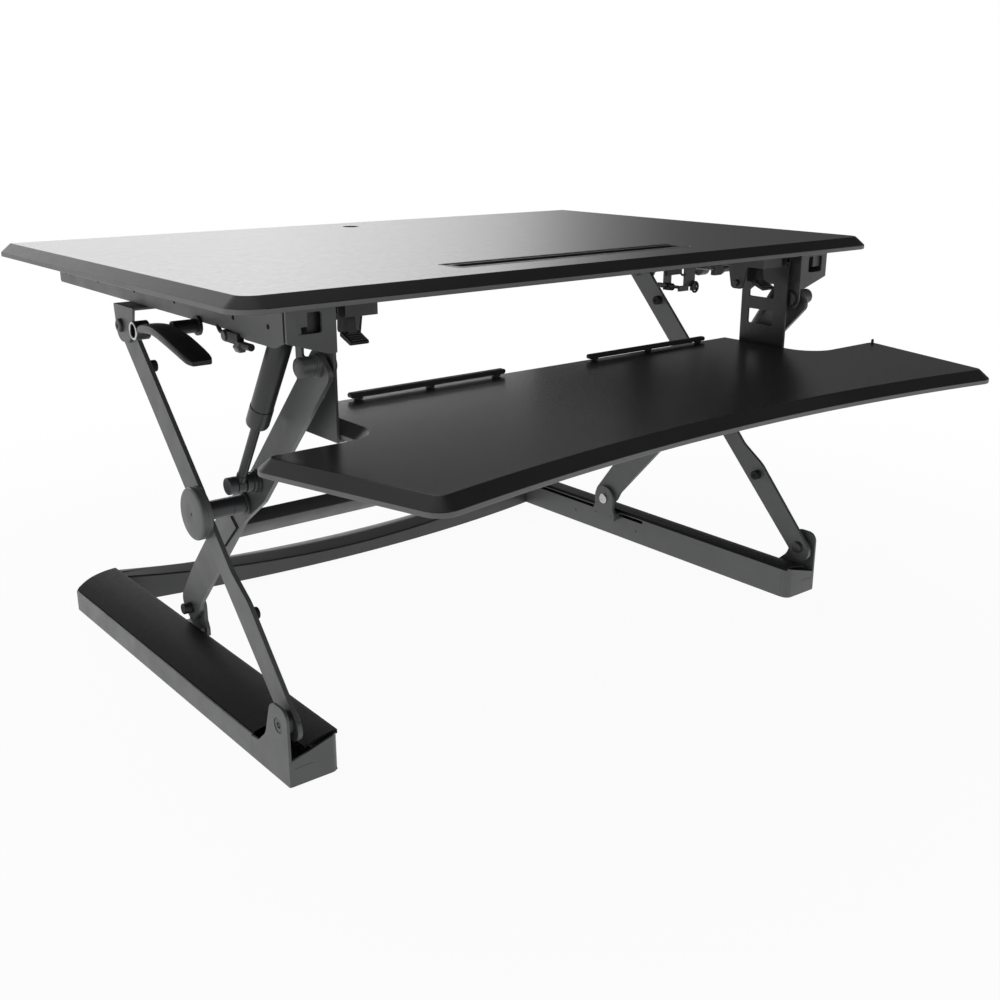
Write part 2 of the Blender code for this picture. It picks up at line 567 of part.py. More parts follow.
# ---- desk ----------------------------------------------------------------------------------
def make_desktop():
    half = [(0.0, 0.0)] + rounded([(0.0, 0.0, 0), (DESK_HALF_FRONT, 0.0, 0.028),
                                   (DESK_HALF_BACK, DESK_DEPTH, 0.0125), (0.0, DESK_DEPTH, 0)],
                                  6)[1:]
    top = board(mirrored(half), DESK_BOTTOM, DESK_TOP)
    slot = rounded([(SLOT_HALF + GAP, SLOT_FRONT - GAP, 0.006),
                    (SLOT_HALF + GAP, SLOT_BACK + GAP, 0.006),
                    (-SLOT_HALF - GAP, SLOT_BACK + GAP, 0.006),
                    (-SLOT_HALF - GAP, SLOT_FRONT - GAP, 0.006)], 3)
    pocket = plate([slot], 2 * SLOT_DEPTH, (0, 0, DESK_TOP), Matrix.Identity(3))
    hole = plate([circle(0, GROMMET_Y, GROMMET_R + GAP, 24)], 0.1, (0, 0, DESK_TOP),
                 Matrix.Identity(3))
    combine(top, [pocket, hole], "DIFFERENCE")
    attach(top, "desk", BOARD, "desktop")


def make_tablet_slot():
    """Plastic trough let into the desktop, for standing a tablet on edge."""
    outline = rounded([(SLOT_HALF, SLOT_FRONT, 0.006), (SLOT_HALF, SLOT_BACK, 0.006),
                       (-SLOT_HALF, SLOT_BACK, 0.006), (-SLOT_HALF, SLOT_FRONT, 0.006)], 3)
    bottom = DESK_TOP - SLOT_DEPTH + GAP
    trough = plate([outline], DESK_TOP - bottom, (0, 0, (DESK_TOP + bottom) / 2),
                   Matrix.Identity(3))
    groove = block(-SLOT_HALF + 0.008, SLOT_HALF - 0.008, SLOT_FRONT + 0.010,
                   SLOT_BACK - 0.014, DESK_TOP - 0.0055, DESK_TOP + 0.01)
    combine(trough, [groove], "DIFFERENCE")
    attach(trough, "desk", BLACK, "tablet_slot")


def make_grommet():
    profile = [(DESK_TOP, GROMMET_R - 0.0018), (DESK_TOP, GROMMET_R), (DESK_BOTTOM, GROMMET_R),
               (DESK_BOTTOM, GROMMET_R - 0.0018)]
    ring = turned(profile, (0, GROMMET_Y, 0), Matrix.Identity(3), 24, closed=True)
    attach(ring, "desk", BLACK, "cable_grommet")


def make_side_frame(side, word):
    """Side plate under the desktop, flanged inwards, with the gas spring's upper stud."""
    web = side_plate(side, [rounded([(0.0292, FRAME_TOP, 0), (0.0292, 0.4400, 0.001),
                                     (0.050, 0.4330, 0.004), (0.105, 0.4330, 0.004),
                                     (0.130, 0.4380, 0.006), (0.596, 0.4380, 0.003),
                                     (0.596, FRAME_TOP, 0)], 3)], SIDE_IN, SIDE_OUT)
    top = block(side * 0.366, side * (SIDE_IN + 0.001), 0.0292, 0.596, FRAME_TOP - 0.0020,
                FRAME_TOP)
    lower = block(side * 0.3792, side * (SIDE_IN + 0.001), 0.290, 0.5955, 0.4380, 0.4402)
    stud = rod(side, 0.0060, 0.3805, SIDE_IN + 0.001, SPRING_TOP_Y, SPRING_TOP_Z, 16)
    combine(web, [top, lower, stud])
    attach(web, "desk", STEEL, "side_frame_" + word)


def make_front_bracket(side, word):
    """Front plate with its window, and the cheek that carries the inner arm's upper pivot."""
    face = bar(side, rounded([(0.3900, FRAME_TOP, 0), (0.3900, 0.4400, 0.001),
                              (0.3480, 0.4270, 0.002), (0.3385, 0.4270, 0), (0.3385, FRAME_TOP, 0)]),
               0.0260, 0.0289,
               [rounded([(0.3555, 0.4470, 0.003), (0.3800, 0.4470, 0.003),
                         (0.3800, 0.4662, 0.003), (0.3555, 0.4662, 0.003)], 3)])
    top = FRAME_TOP - 2 * GAP
    cheek = side_plate(side, [rounded([(0.0272, top, 0), (0.0272, 0.4000, 0.0130),
                                       (0.0545, 0.4000, 0.0130), (0.0600, 0.4420, 0.020),
                                       (0.1000, 0.4600, 0.004), (0.1000, top, 0)])],
                       0.3400, 0.3427)
    flange = block(side * 0.3412, side * 0.3650, 0.0278, 0.0980, FRAME_TOP - 0.0020,
                   FRAME_TOP - GAP)
    bore = rod(side, SLIDE_BORE, 0.330, 0.350, FRONT_PIVOT_Y, HIGH_PIVOT_Z)
    combine(face, [cheek, flange])
    combine(face, [bore], "DIFFERENCE")
    attach(face, "desk", STEEL, "front_bracket_" + word)

    pin = stepped_pin(side, [(0.3362, 0.3397, 0.0100), (0.3397, 0.3727, 0.0060),
                             (0.3727, 0.3742, 0.0093)], FRONT_PIVOT_Y, HIGH_PIVOT_Z)
    attach(pin, "desk", DARK_STEEL, "front_pivot_pin_" + word)


def make_tray_hanger(side, word):
    """Box section under the desktop with a C-rail that the tray's bracket slides into."""
    low, lip, web_top = 0.4550, 0.4540, 0.4690
    section = [(0.3270, lip), (0.3302, lip), (0.3302, 0.4560), (0.3282, 0.4560),
               (0.3282, 0.4660), (0.3350, 0.4660), (0.3350, 0.4560), (0.3338, 0.4560),
               (0.3338, lip), (0.3370, lip), (0.3370, 0.4680), (0.3300, 0.4680),
               (0.3300, FRAME_TOP), (HANGER_IN, FRAME_TOP), (HANGER_IN, low),
               (HANGER_OUT, low), (HANGER_OUT, web_top), (0.3270, web_top)]
    hanger = bar(side, section, HANGER_FRONT, HANGER_BACK)
    hollow = block(side * (HANGER_IN + 0.002), side * (HANGER_OUT - 0.002), HANGER_FRONT + 0.002,
                   HANGER_BACK + 0.01, low + 0.002, FRAME_TOP - 0.002)
    combine(hanger, [hollow], "DIFFERENCE")
    lug = side_plate(side, [rounded([(0.0665, low + 0.0013, 0), (0.0730, 0.4268, 0.006),
                                     (0.0910, 0.4268, 0.006), (0.0974, low + 0.0013, 0)])],
                     HANGER_IN + GAP, HANGER_IN + 0.0027)
    combine(hanger, [lug], solver="MANIFOLD")
    attach(hanger, "desk", STEEL, "tray_hanger_" + word)


def make_release_cable():
    """Thin control cable under the desktop, from one side frame to the other."""
    half = [(0.0, 0.060, 0.4690), (0.100, 0.062, 0.4690), (0.190, 0.085, 0.4692),
            (0.260, 0.130, 0.4694), (0.320, 0.150, 0.4694), (0.355, 0.150, 0.4690)]
    route = [(-x, y, z) for x, y, z in reversed(half[1:])] + half
    curve = bpy.data.curves.new("cable", "CURVE")
    curve.dimensions = "3D"
    curve.bevel_depth = 0.0015
    curve.bevel_resolution = 2
    curve.use_fill_caps = True
    knots = smooth_route(route, 0.030)
    spline = curve.splines.new("POLY")
    spline.points.add(len(knots) - 1)
    for point, place in zip(spline.points, knots):
        point.co = (*place, 1)
    cable = solid_from_curve(curve, (0, 0, 0), Matrix.Identity(3))
    attach(cable, "desk", BLACK, "release_cable")


def smooth_route(points, spacing):
    """Points along a Catmull-Rom curve through the route."""
    knots = [Vector(point) for point in points]
    knots = [2 * knots[0] - knots[1], *knots, 2 * knots[-1] - knots[-2]]
    places = []
    for before, start, end, after in zip(knots, knots[1:], knots[2:], knots[3:]):
        steps = ceil((end - start).length / spacing)
        for step in range(steps):
            t = step / steps
            places.append(0.5 * (2 * start + (end - before) * t
                                 + (2 * before - 5 * start + 4 * end - after) * t * t
                                 + (3 * start - before - 3 * end + after) * t ** 3))
    return places + [knots[-2]]


# ---- handles -------------------------------------------------------------------------------
def make_handle(side, word):
    """Curved paddle on a short axle outside the side frame; squeezing it lifts the tip."""
    stations = [(0.262, 0.4215, 0.4300, 0.4180, 0.4330), (0.240, 0.4260, 0.4350, 0.4180, 0.4370),
                (0.205, 0.4290, 0.4380, 0.4180, 0.4420), (0.170, 0.4255, 0.4340, 0.4180, 0.4455),
                (0.142, 0.4195, 0.4270, 0.4180, 0.4460), (0.122, 0.4140, 0.4205, 0.4185, 0.4450),
                (0.114, 0.4125, 0.4170, 0.4215, 0.4415)]
    rings = []
    for y, low, high, near, far in stations:
        edge = (high - low) * 0.3
        section = rounded([(near, low, edge), (far, low, edge), (far, high, edge),
                           (near, high, edge)], 2)
        rings.append([(side * x, y, z) for x, z in section])
    paddle = loft(rings)
    axle = rod(side, 0.0070, SIDE_OUT + GAP, 0.4190, HANDLE_Y, HANDLE_Z)
    collar = rod(side, 0.0100, SIDE_OUT + GAP, 0.3940, HANDLE_Y, HANDLE_Z)
    boss = rod(side, 0.0098, 0.4180, 0.4345, 0.2680, 0.4245, 24)
    hollow = rod(side, 0.0068, 0.4215, 0.4400, 0.2680, 0.4245, 20)
    combine(paddle, [axle, collar, boss])
    combine(paddle, [hollow], "DIFFERENCE")
    attach(paddle, "handle_" + word, BLACK, "release_handle_" + word)


# ---- keyboard tray -------------------------------------------------------------------------
def make_tray():
    """Shallow curved tray: a bowed front, splayed ends and a deeper middle."""
    curve_end, samples = 0.372, 9
    half = [(curve_end * i / samples, TRAY_FRONT - TRAY_CURVE * (curve_end * i / samples) ** 2)
            for i in range(samples)]
    half += rounded([half[-1] + (0,), (*TRAY_WING_FRONT, 0.020), (*TRAY_WING_BACK, 0.018),
                     (TRAY_MIDDLE_HALF, TRAY_WING_BACK[1], 0.026),
                     (TRAY_MIDDLE_HALF, TRAY_BACK, 0.0125), (0.0, TRAY_BACK, 0)], 6)[1:]
    tray = board(mirrored(half), TRAY_BOTTOM, TRAY_TOP)
    attach(tray, "tray", BOARD, "keyboard_tray")


def make_tray_bracket(side, word):
    """Hanging plate with two windows, a T-head in the C-rail and a foot under the tray."""
    near, far = BRACKET_X - 0.0014, BRACKET_X + 0.0014
    low = TRAY_BOTTOM - 0.0030
    outline = rounded([(0.0400, low, 0), (0.1120, low, 0), (0.1120, 0.4500, 0.010),
                       (0.0950, 0.4590, 0), (0.0400, 0.4590, 0)])
    windows = [rounded([(0.0600, 0.4120, 0.002), (0.1000, 0.4120, 0.002),
                        (0.1000, 0.4200, 0.003), (0.0840, 0.4320, 0.010),
                        (0.0600, 0.4320, 0.006)], 3),
               rounded([(0.0600, 0.3770, 0.002), (0.1000, 0.3770, 0.002),
                        (0.1000, 0.3960, 0.002), (0.0600, 0.3960, 0.002)], 2)]
    web = side_plate(side, [outline, *windows], near, far)
    head = block(side * 0.3288, side * 0.3344, 0.0405, 0.0940, 0.4575, 0.4602)
    foot = block(side * 0.2900, side * (far - 0.0005), 0.0405, 0.1115, low,
                 TRAY_BOTTOM - GAP)
    combine(web, [head, foot])
    attach(web, "tray", STEEL, "tray_bracket_" + word)


def make_stop_bar(side, word):
    """Low rail at the tray's back edge, standing on three small feet."""
    low, high, base = 0.3570, 0.3625, TRAY_TOP + GAP
    outline = [(0.0650, low), (0.0650, high), (0.2700, high), (0.2700, low)]
    for middle in (0.2600, 0.1675, 0.0750):
        outline += [(middle + 0.004, low), (middle + 0.003, base), (middle - 0.003, base),
                    (middle - 0.004, low)]
    rail = bar(side, outline, 0.1165, 0.1245)
    attach(rail, "tray", BLACK, "stop_bar_" + word)


def make_release_lever(side, word):
    """Ribbed thumb pad below its pivot, just inside the tray's hanging plate."""
    stem = side_plate(side, [rounded([(0.0575, 0.4345, 0.002), (0.0775, 0.4360, 0.003),
                                      (0.0765, 0.4530, 0.003), (0.0610, 0.4530, 0.003)], 3)],
                      LEVER_X - 0.005, LEVER_X + 0.005)
    pad = side_plate(side, [rounded([(0.0445, 0.4262, 0.002), (0.0645, 0.4338, 0.001),
                                     (0.0645, 0.4396, 0.002), (0.0448, 0.4312, 0.002)], 3)],
                     LEVER_X - 0.0100, LEVER_X + 0.0100)
    combine(stem, [pad])
    attach(stem, "lever_" + word, BLACK, "release_lever_" + word)


# ---- assembly ------------------------------------------------------------------------------
def build():
    make_rear_beam()
    make_cross_beam()
    make_desktop()
    make_tablet_slot()
    make_grommet()
    make_release_cable()
    make_tray()
    for word, side in SIDES.items():
        make_foot(side, word)
        make_foot_cover(side, word)
        make_clevis(side, word)
        make_foot_details(side, word)
        make_outer_arm(side, word)
        make_inner_arm(side, word)
        make_lower_carriage(side, word)
        make_upper_carriage(side, word)
        make_gas_spring(side, word)
        make_side_frame(side, word)
        make_front_bracket(side, word)
        make_tray_hanger(side, word)
        make_handle(side, word)
        make_tray_bracket(side, word)
        make_stop_bar(side, word)
        make_release_lever(side, word)


clear_scene()
PARTS = make_collection("standing_desk_converter")
BODIES = make_bodies()
build()
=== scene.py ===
"""Looks of the standing desk converter: fine meshes, materials, light and camera."""
import json
from math import atan2, cos, hypot, pi, radians, sin

import bmesh
import bpy
from mathutils import Matrix, Vector


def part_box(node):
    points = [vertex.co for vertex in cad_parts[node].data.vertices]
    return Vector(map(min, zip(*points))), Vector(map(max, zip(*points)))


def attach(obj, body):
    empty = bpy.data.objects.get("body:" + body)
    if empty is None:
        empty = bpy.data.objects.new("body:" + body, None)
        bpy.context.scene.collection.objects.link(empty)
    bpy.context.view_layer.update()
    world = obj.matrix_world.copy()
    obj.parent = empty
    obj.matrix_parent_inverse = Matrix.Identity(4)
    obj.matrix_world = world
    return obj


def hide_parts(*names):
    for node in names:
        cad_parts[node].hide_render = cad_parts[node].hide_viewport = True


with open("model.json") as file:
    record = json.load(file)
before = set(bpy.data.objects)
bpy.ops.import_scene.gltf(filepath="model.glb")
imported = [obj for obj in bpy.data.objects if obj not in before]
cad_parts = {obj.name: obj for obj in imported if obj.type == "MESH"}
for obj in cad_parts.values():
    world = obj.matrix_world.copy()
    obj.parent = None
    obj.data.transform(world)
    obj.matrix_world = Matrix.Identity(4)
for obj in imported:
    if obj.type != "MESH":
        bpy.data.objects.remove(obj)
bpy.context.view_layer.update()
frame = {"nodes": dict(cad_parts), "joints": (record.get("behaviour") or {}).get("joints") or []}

# ---- places taken from the frame -----------------------------------------------------------
JOINTS = {joint["name"]: joint for joint in frame["joints"]}
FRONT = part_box("desktop")[0].y             # the desktop's front edge; every y starts there


def pivot(joint):
    """y from the desktop's front edge, and z, of a hinge."""
    x, y, z = JOINTS[joint]["pos_m"]
    return y - FRONT, z


def span(node, axis):
    """Lowest and highest coordinate of a node along X, Y or Z; y from the desktop's front."""
    low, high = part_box(node)
    shift = FRONT if axis == "y" else 0.0
    return getattr(low, axis) - shift, getattr(high, axis) - shift


LOW_PIVOT = FRONT_PIVOT_Y, LOW_PIVOT_Z = pivot("lift")
HIGH_PIVOT = pivot("desk_pivot")
HIGH_PIVOT_Z = HIGH_PIVOT[1]
HUB = pivot("centre_pivot")
LOWER_CARRIAGE = pivot("lower_carriage_pivot")
UPPER_CARRIAGE = pivot("upper_carriage_pivot")
REAR_PIVOT_Y = LOWER_CARRIAGE[0]
STUD = STUD_Y, STUD_Z = pivot("spring_pivot")
HANDLE = pivot("handle_right_squeeze")
LEVER_X = JOINTS["lever_right_press"]["pos_m"][0]
ARM_LENGTH = hypot(REAR_PIVOT_Y - FRONT_PIVOT_Y, HIGH_PIVOT_Z - LOW_PIVOT_Z)
ARM_ANGLE = atan2(HIGH_PIVOT_Z - LOW_PIVOT_Z, REAR_PIVOT_Y - FRONT_PIVOT_Y)
SPRING_TOP = SPRING_TOP_Y, SPRING_TOP_Z = FRONT_PIVOT_Y + 0.0163, HIGH_PIVOT_Z + 0.0403
SPRING_LENGTH = hypot(SPRING_TOP_Y - STUD_Y, SPRING_TOP_Z - STUD_Z)
SPRING_ANGLE = atan2(SPRING_TOP_Z - STUD_Z, SPRING_TOP_Y - STUD_Y)

DESK_BOTTOM, DESK_TOP = span("desktop", "z")
DESK_DEPTH = span("desktop", "y")[1]
DESK_HALF_BACK = span("desktop", "x")[1]
DESK_HALF_FRONT = DESK_HALF_BACK - 0.008
TRAY_BOTTOM, TRAY_TOP = span("keyboard_tray", "z")
TRAY_BACK = span("keyboard_tray", "y")[1]
EDGE_BAND, EDGE_CHAMFER = 0.0048, 0.0117
SLOT_HALF = span("tablet_slot", "x")[1]
SLOT_FRONT, SLOT_BACK = span("tablet_slot", "y")
SLOT_BOTTOM = span("tablet_slot", "z")[0]
GROMMET_R = span("cable_grommet", "x")[1]
GROMMET_Y = sum(span("cable_grommet", "y")) / 2

FOOT_IN, FOOT_OUT = span("base_rail_right", "x")
FOOT_FRONT, FOOT_SEAM = span("front_clevis_right", "y")
FOOT_INNER_FRONT, FOOT_BACK = span("base_rail_right", "y")
FOOT_BASE = span("base_rail_right", "z")[0]
FOOT_OUT_TOP, FOOT_IN_TOP, FOOT_WALL, COVER_WALL = 0.028, 0.0418, 0.0024, 0.0022
CUT_IN, CUT_OUT, CUT_TOP = 0.34, 0.43, 0.08      # reach of the tools that trim a foot

SIDE_OUT = span("side_frame_right", "x")[1]
SIDE_IN = SIDE_OUT - 0.0025
FRAME_TOP = span("side_frame_right", "z")[1]
OUTER_ARM = span("outer_arm_right", "x")
INNER_ARM_IN = span("inner_arm_right", "x")[0]
INNER_ARM = INNER_ARM_IN, INNER_ARM_IN + 0.005
SPRING_X = sum(span("gas_cylinder_right", "x")) / 2
HANGER_FRONT, HANGER_BACK = span("tray_hanger_right", "y")
HANGER_IN = span("tray_hanger_right", "x")[0]
HANGER_OUT = HANGER_IN + 0.036
PIVOT_BORE, SLIDE_BORE, BOLT_BORE = 0.0083, 0.0064, 0.0054      # radii of the arms' holes
GAP = 0.0003                               # between neighbouring pieces
SCREW_ROW = (0.06, 0.129, 0.261, 0.365, 0.47, 0.575)            # y along each side frame

YZ_PLANE = Matrix(((0, 0, 1), (1, 0, 0), (0, 1, 0)))     # an outline's x, y become y, z
XZ_PLANE = Matrix(((1, 0, 0), (0, 0, -1), (0, 1, 0)))    # an outline's x, y become x, z
FLAT = Matrix.Identity(3)
SIDES = {"left": -1, "right": 1}


# ---- materials -----------------------------------------------------------------------------
def add_node(tree, kind, inputs=None, **settings):
    """A shader node: its settings, and each input as a constant or as a socket to link."""
    node = tree.nodes.new("ShaderNode" + kind)
    for key, value in settings.items():
        setattr(node, key, value)
    for key, value in (inputs or {}).items():
        if isinstance(value, bpy.types.NodeSocket):
            tree.links.new(value, node.inputs[key])
        else:
            node.inputs[key].default_value = value
    return node


def add_ramp(tree, source, stops):
    """Colour ramp through (position, colour) stops."""
    node = add_node(tree, "ValToRGB", {"Fac": source})
    elements = node.color_ramp.elements
    while len(elements) < len(stops):
        elements.new(0.5)
    for element, (position, colour) in zip(elements, stops):
        element.position = position
        element.color = (*colour, 1.0)
    return node.outputs["Color"]


def times(shade, factor):
    return tuple(c * factor for c in shade)


class Look:
    """A Principled material with helpers for the few node patterns used here."""

    def __init__(self, name, roughness=0.5, metallic=0.0, specular=0.5):
        self.material = bpy.data.materials.new(name)
        self.material.use_nodes = True
        self.tree = self.material.node_tree
        self.shader = self.tree.nodes["Principled BSDF"]
        self.shader.inputs["Roughness"].default_value = roughness
        self.shader.inputs["Metallic"].default_value = metallic
        self.shader.inputs["Specular IOR Level"].default_value = specular
        self.place = self.add("TexCoord").outputs["Object"]

    def add(self, kind, inputs=None, **settings):
        return add_node(self.tree, kind, inputs, **settings)

    def feed(self, socket, source):
        self.tree.links.new(source, self.shader.inputs[socket])

    def noise(self, scale, detail, rough=0.55, stretch=None):
        place = self.place
        if stretch:
            place = self.add("Mapping", {"Scale": stretch, "Vector": place}).outputs["Vector"]
        return self.add("TexNoise", {"Scale": scale, "Detail": detail, "Roughness": rough,
            "Vector": place}).outputs["Fac"]

    def tone(self, shade, scale, detail, low, high, start=0.3):
        """Slow drift between a darker and a paler version of a shade."""
        stops = [(start, times(shade, low)), (0.7, times(shade, high))]
        return add_ramp(self.tree, self.noise(scale, detail), stops)

    def uneven_gloss(self, scale, detail, low, high):
        spread = self.add("MapRange", {"From Min": 0.3, "From Max": 0.7, "To Min": low, "To Max": high,
            "Value": self.noise(scale, detail)})
        self.feed("Roughness", spread.outputs["Result"])

    def edges(self, radius):
        """0 on open faces, rising to 1 along worn edges."""
        bevel = self.add("Bevel", {"Radius": radius}, samples=4)
        normal = self.add("NewGeometry").outputs["Normal"]
        dot = self.add("VectorMath", {0: bevel.outputs["Normal"], 1: normal}, operation="DOT_PRODUCT")
        return self.add("MapRange", {"From Min": 0.99, "From Max": 0.86,
            "Value": dot.outputs["Value"]}).outputs["Result"]

    def bump(self, height, strength, distance, below=None):
        inputs = {"Strength": strength, "Distance": distance, "Height": height}
        if below is not None:
            inputs["Normal"] = below
        node = self.add("Bump", inputs)
        self.feed("Normal", node.outputs["Normal"])
        return node.outputs["Normal"]


def coated_steel(name, shade, roughness):
    """Powder coat: faint colour drift, orange-peel bump and paler rubbed edges."""
    look = Look(name, roughness)
    rubbed = (*times(shade, 1.35), 1.0)
    mix = look.add("Mix", {"Factor": look.edges(0.0006), 6: look.tone(shade, 7.0, 3.0, 0.9, 1.1),
        7: rubbed}, data_type="RGBA")
    look.feed("Base Color", mix.outputs[2])
    look.uneven_gloss(38.0, 4.0, roughness - 0.05, roughness + 0.07)
    peel = look.bump(look.noise(900.0, 2.0), 0.1, 0.0004)
    cells = look.add("TexVoronoi", {"Scale": 2600.0, "Vector": look.place}).outputs["Distance"]
    look.bump(cells, 0.05, 0.0002, peel)
    return look.material


def laminate(name, shade, roughness):
    """Melamine board: pebbled bump, slow tone drift and slightly uneven gloss."""
    look = Look(name, roughness)
    look.feed("Base Color", look.tone(shade, 9.0, 5.0, 0.86, 1.14))
    look.uneven_gloss(140.0, 4.0, roughness - 0.015, roughness + 0.015)
    look.bump(look.noise(900.0, 3.0, 0.6), 0.1, 0.0003)
    return look.material


def moulded_plastic(name, shade, roughness, grain=0.16, specular=0.45):
    """Moulded black plastic with a fine spark-eroded grain."""
    look = Look(name, roughness, specular=specular)
    look.feed("Base Color", look.tone(shade, 12.0, 3.0, 0.85, 1.2))
    look.uneven_gloss(160.0, 4.0, roughness - 0.03, roughness + 0.03)
    look.bump(look.noise(1500.0, 2.0, 0.7), grain, 0.0004)
    return look.material


def bare_metal(name, shade, roughness):
    """Plated or turned metal with fine tool marks."""
    look = Look(name, roughness, metallic=1.0)
    look.feed("Base Color", look.tone(shade, 60.0, 3.0, 0.8, 1.0))
    look.uneven_gloss(120.0, 4.0, roughness - 0.06, roughness + 0.1)
    look.bump(look.noise(500.0, 2.0, 0.5, (4.0, 1.0, 1.0)), 0.12, 0.0003)
    return look.material


def rubber_look(name, shade):
    """Matt rubber with a coarse grain."""
    look = Look(name, 0.85, specular=0.3)
    look.feed("Base Color", look.tone(shade, 80.0, 4.0, 1.0, 1.5, 0.35))
    look.uneven_gloss(160.0, 3.0, 0.78, 0.92)
    look.bump(look.noise(1200.0, 2.0), 0.25, 0.0004)
    return look.material


STEEL = coated_steel("coated_steel", (0.082, 0.084, 0.085), 0.4)
# Painted shade: a darker copy of the coated steel for the tray's hangers and brackets and the cable tabs,
# which sit in shade under the desktop.
SHADED_STEEL = coated_steel("painted_shade_steel", (0.042, 0.043, 0.044), 0.42)
# Painted shade: a darker copy of the coated steel for the rear beam's channel and the inner cross beam;
# the beam's cap keeps the plain coated steel.
BEAM_SHADE_STEEL = coated_steel("beam_painted_shade_steel", (0.045, 0.046, 0.047), 0.42)
DARK_STEEL = coated_steel("dark_steel", (0.03, 0.031, 0.034), 0.36)
SPRING_PAINT = coated_steel("spring_paint", (0.01, 0.011, 0.011), 0.33)
BOARD = laminate("black_laminate", (0.016, 0.016, 0.017), 0.25)
CHAMFER = laminate("laminate_chamfer", (0.011, 0.011, 0.013), 0.44)
TRAY_CHAMFER = laminate("tray_chamfer", (0.019, 0.019, 0.02), 0.36)
BAND = laminate("edge_band", (0.11, 0.111, 0.113), 0.45)
BLACK = moulded_plastic("black_plastic", (0.012, 0.012, 0.013), 0.46)
COVER = moulded_plastic("cover_plastic", (0.0035, 0.0035, 0.004), 0.5, 0.05, 0.07)
GLOSS_BLACK = moulded_plastic("handle_plastic", (0.008, 0.008, 0.009), 0.38, 0.08)
ZINC = bare_metal("zinc_plate", (0.62, 0.62, 0.6), 0.28)
RUBBER = rubber_look("black_rubber", (0.014, 0.014, 0.014))


# ---- outlines ------------------------------------------------------------------------------
def rounded(corners, steps=10):
    """Outline through corners (x, y, radius), each rounded by an arc of its own radius."""
    points = []
    count = len(corners)
    for i, (x, y, radius) in enumerate(corners):
        here = Vector((x, y))
        to_last = (Vector(corners[i - 1][:2]) - here).normalized()
        to_next = (Vector(corners[(i + 1) % count][:2]) - here).normalized()
        if radius == 0:
            points.append(here)
            continue
        half = to_last.angle(to_next) / 2
        middle = here + (to_last + to_next).normalized() * (radius / sin(half))
        start = here + to_last * (radius * cos(half) / sin(half)) - middle
        sweep = start.angle_signed(here + to_next * (radius * cos(half) / sin(half)) - middle)
        for step in range(steps + 1):
            points.append(middle + Matrix.Rotation(-sweep * step / steps, 2) @ start)
    return [(p.x, p.y) for p in points]


def angles(count):
    return [2 * pi * i / count for i in range(count)]


def circle(x, y, radius):
    return [(x + radius * cos(a), y + radius * sin(a)) for a in angles(48)]


def rounded_box(x0, x1, y0, y1, radius, steps=10):
    return rounded([(x0, y0, radius), (x1, y0, radius), (x1, y1, radius), (x0, y1, radius)], steps)


def mirrored(half):
    return half + [(-x, y) for x, y in reversed(half) if x > 1e-6]


def inset(outline, distance):
    """The outline moved inwards by a distance, corner by corner."""
    moved = []
    count = len(outline)
    for i, point in enumerate(outline):
        here = Vector(point)
        before = (here - Vector(outline[i - 1])).normalized()
        after = (Vector(outline[(i + 1) % count]) - here).normalized()
        normal = Vector((-before.y - after.y, before.x + after.x)).normalized()
        stretch = distance / normal.dot(Vector((-before.y, before.x)))
        moved.append(tuple(here + normal * stretch))
    return moved


def smooth_line(points, pieces):
    """Catmull-Rom curve through the points, with the same number of pieces in each span."""
    knots = [Vector(point) for point in points]
    knots = [2 * knots[0] - knots[1], *knots, 2 * knots[-1] - knots[-2]]
    line = []
    for before, start, end, after in zip(knots, knots[1:], knots[2:], knots[3:]):
        for piece in range(pieces):
            t = piece / pieces
            line.append(0.5 * (2 * start + (end - before) * t
                               + (2 * before - 5 * start + 4 * end - after) * t * t
                               + (3 * start - before - 3 * end + after) * t ** 3))
    return line + [knots[-2]]


# ---- solids --------------------------------------------------------------------------------
def new_solid(mesh, location=(0, 0, 0), turn=None, material=None):
    solid = bpy.data.objects.new("solid", mesh)
    solid.location = location
    if turn is not None:
        solid.rotation_euler = turn.to_euler()
    if material is not None:
        mesh.materials.clear()
        mesh.materials.append(material)
    bpy.context.scene.collection.objects.link(solid)
    return solid


def to_mesh(shape, name):
    mesh = bpy.data.meshes.new(name)
    shape.to_mesh(mesh)
    shape.free()
    return mesh


def evaluated_mesh(solid):
    bpy.context.view_layer.update()
    evaluated = solid.evaluated_get(bpy.context.evaluated_depsgraph_get())
    return bpy.data.meshes.new_from_object(evaluated)


def mesh_of(solid):
    """The solid's evaluated mesh in the scene's axes; the solid itself is removed."""
    mesh = evaluated_mesh(solid)
    mesh.transform(solid.matrix_world)
    bpy.data.objects.remove(solid)
    return mesh


def add_line(curve, points, closed):
    spline = curve.splines.new("POLY")
    spline.points.add(len(points) - 1)
    spline.use_cyclic_u = closed
    for point, place in zip(spline.points, points):
        point.co = (*place, 1)


def welded(curve):
    """The curve's mesh as an editable shape, without doubled corners."""
    guide = bpy.data.objects.new("guide", curve)
    bpy.context.scene.collection.objects.link(guide)
    shape = bmesh.new()
    shape.from_mesh(mesh_of(guide))
    bmesh.ops.remove_doubles(shape, verts=shape.verts, dist=1e-6)
    return shape


def plate(loops, thickness, middle, turn, material=None):
    """Flat plate from an outline and its holes, centred on its own plane."""
    curve = bpy.data.curves.new("outline", "CURVE")
    curve.dimensions = "2D"
    curve.fill_mode = "BOTH"
    curve.extrude = thickness / 2
    for loop in loops:
        add_line(curve, [(x, y, 0) for x, y in loop], True)
    shape = welded(curve)
    bmesh.ops.dissolve_limit(shape, angle_limit=0.0005, verts=shape.verts, edges=shape.edges)
    bmesh.ops.recalc_face_normals(shape, faces=shape.faces)
    return new_solid(to_mesh(shape, "plate"), middle, turn, material)


def side_plate(side, loops, near, far, material=None):
    """Plate across the X axis, between two distances from the middle plane."""
    return plate(loops, far - near, (side * (near + far) / 2, 0, 0), YZ_PLANE, material)


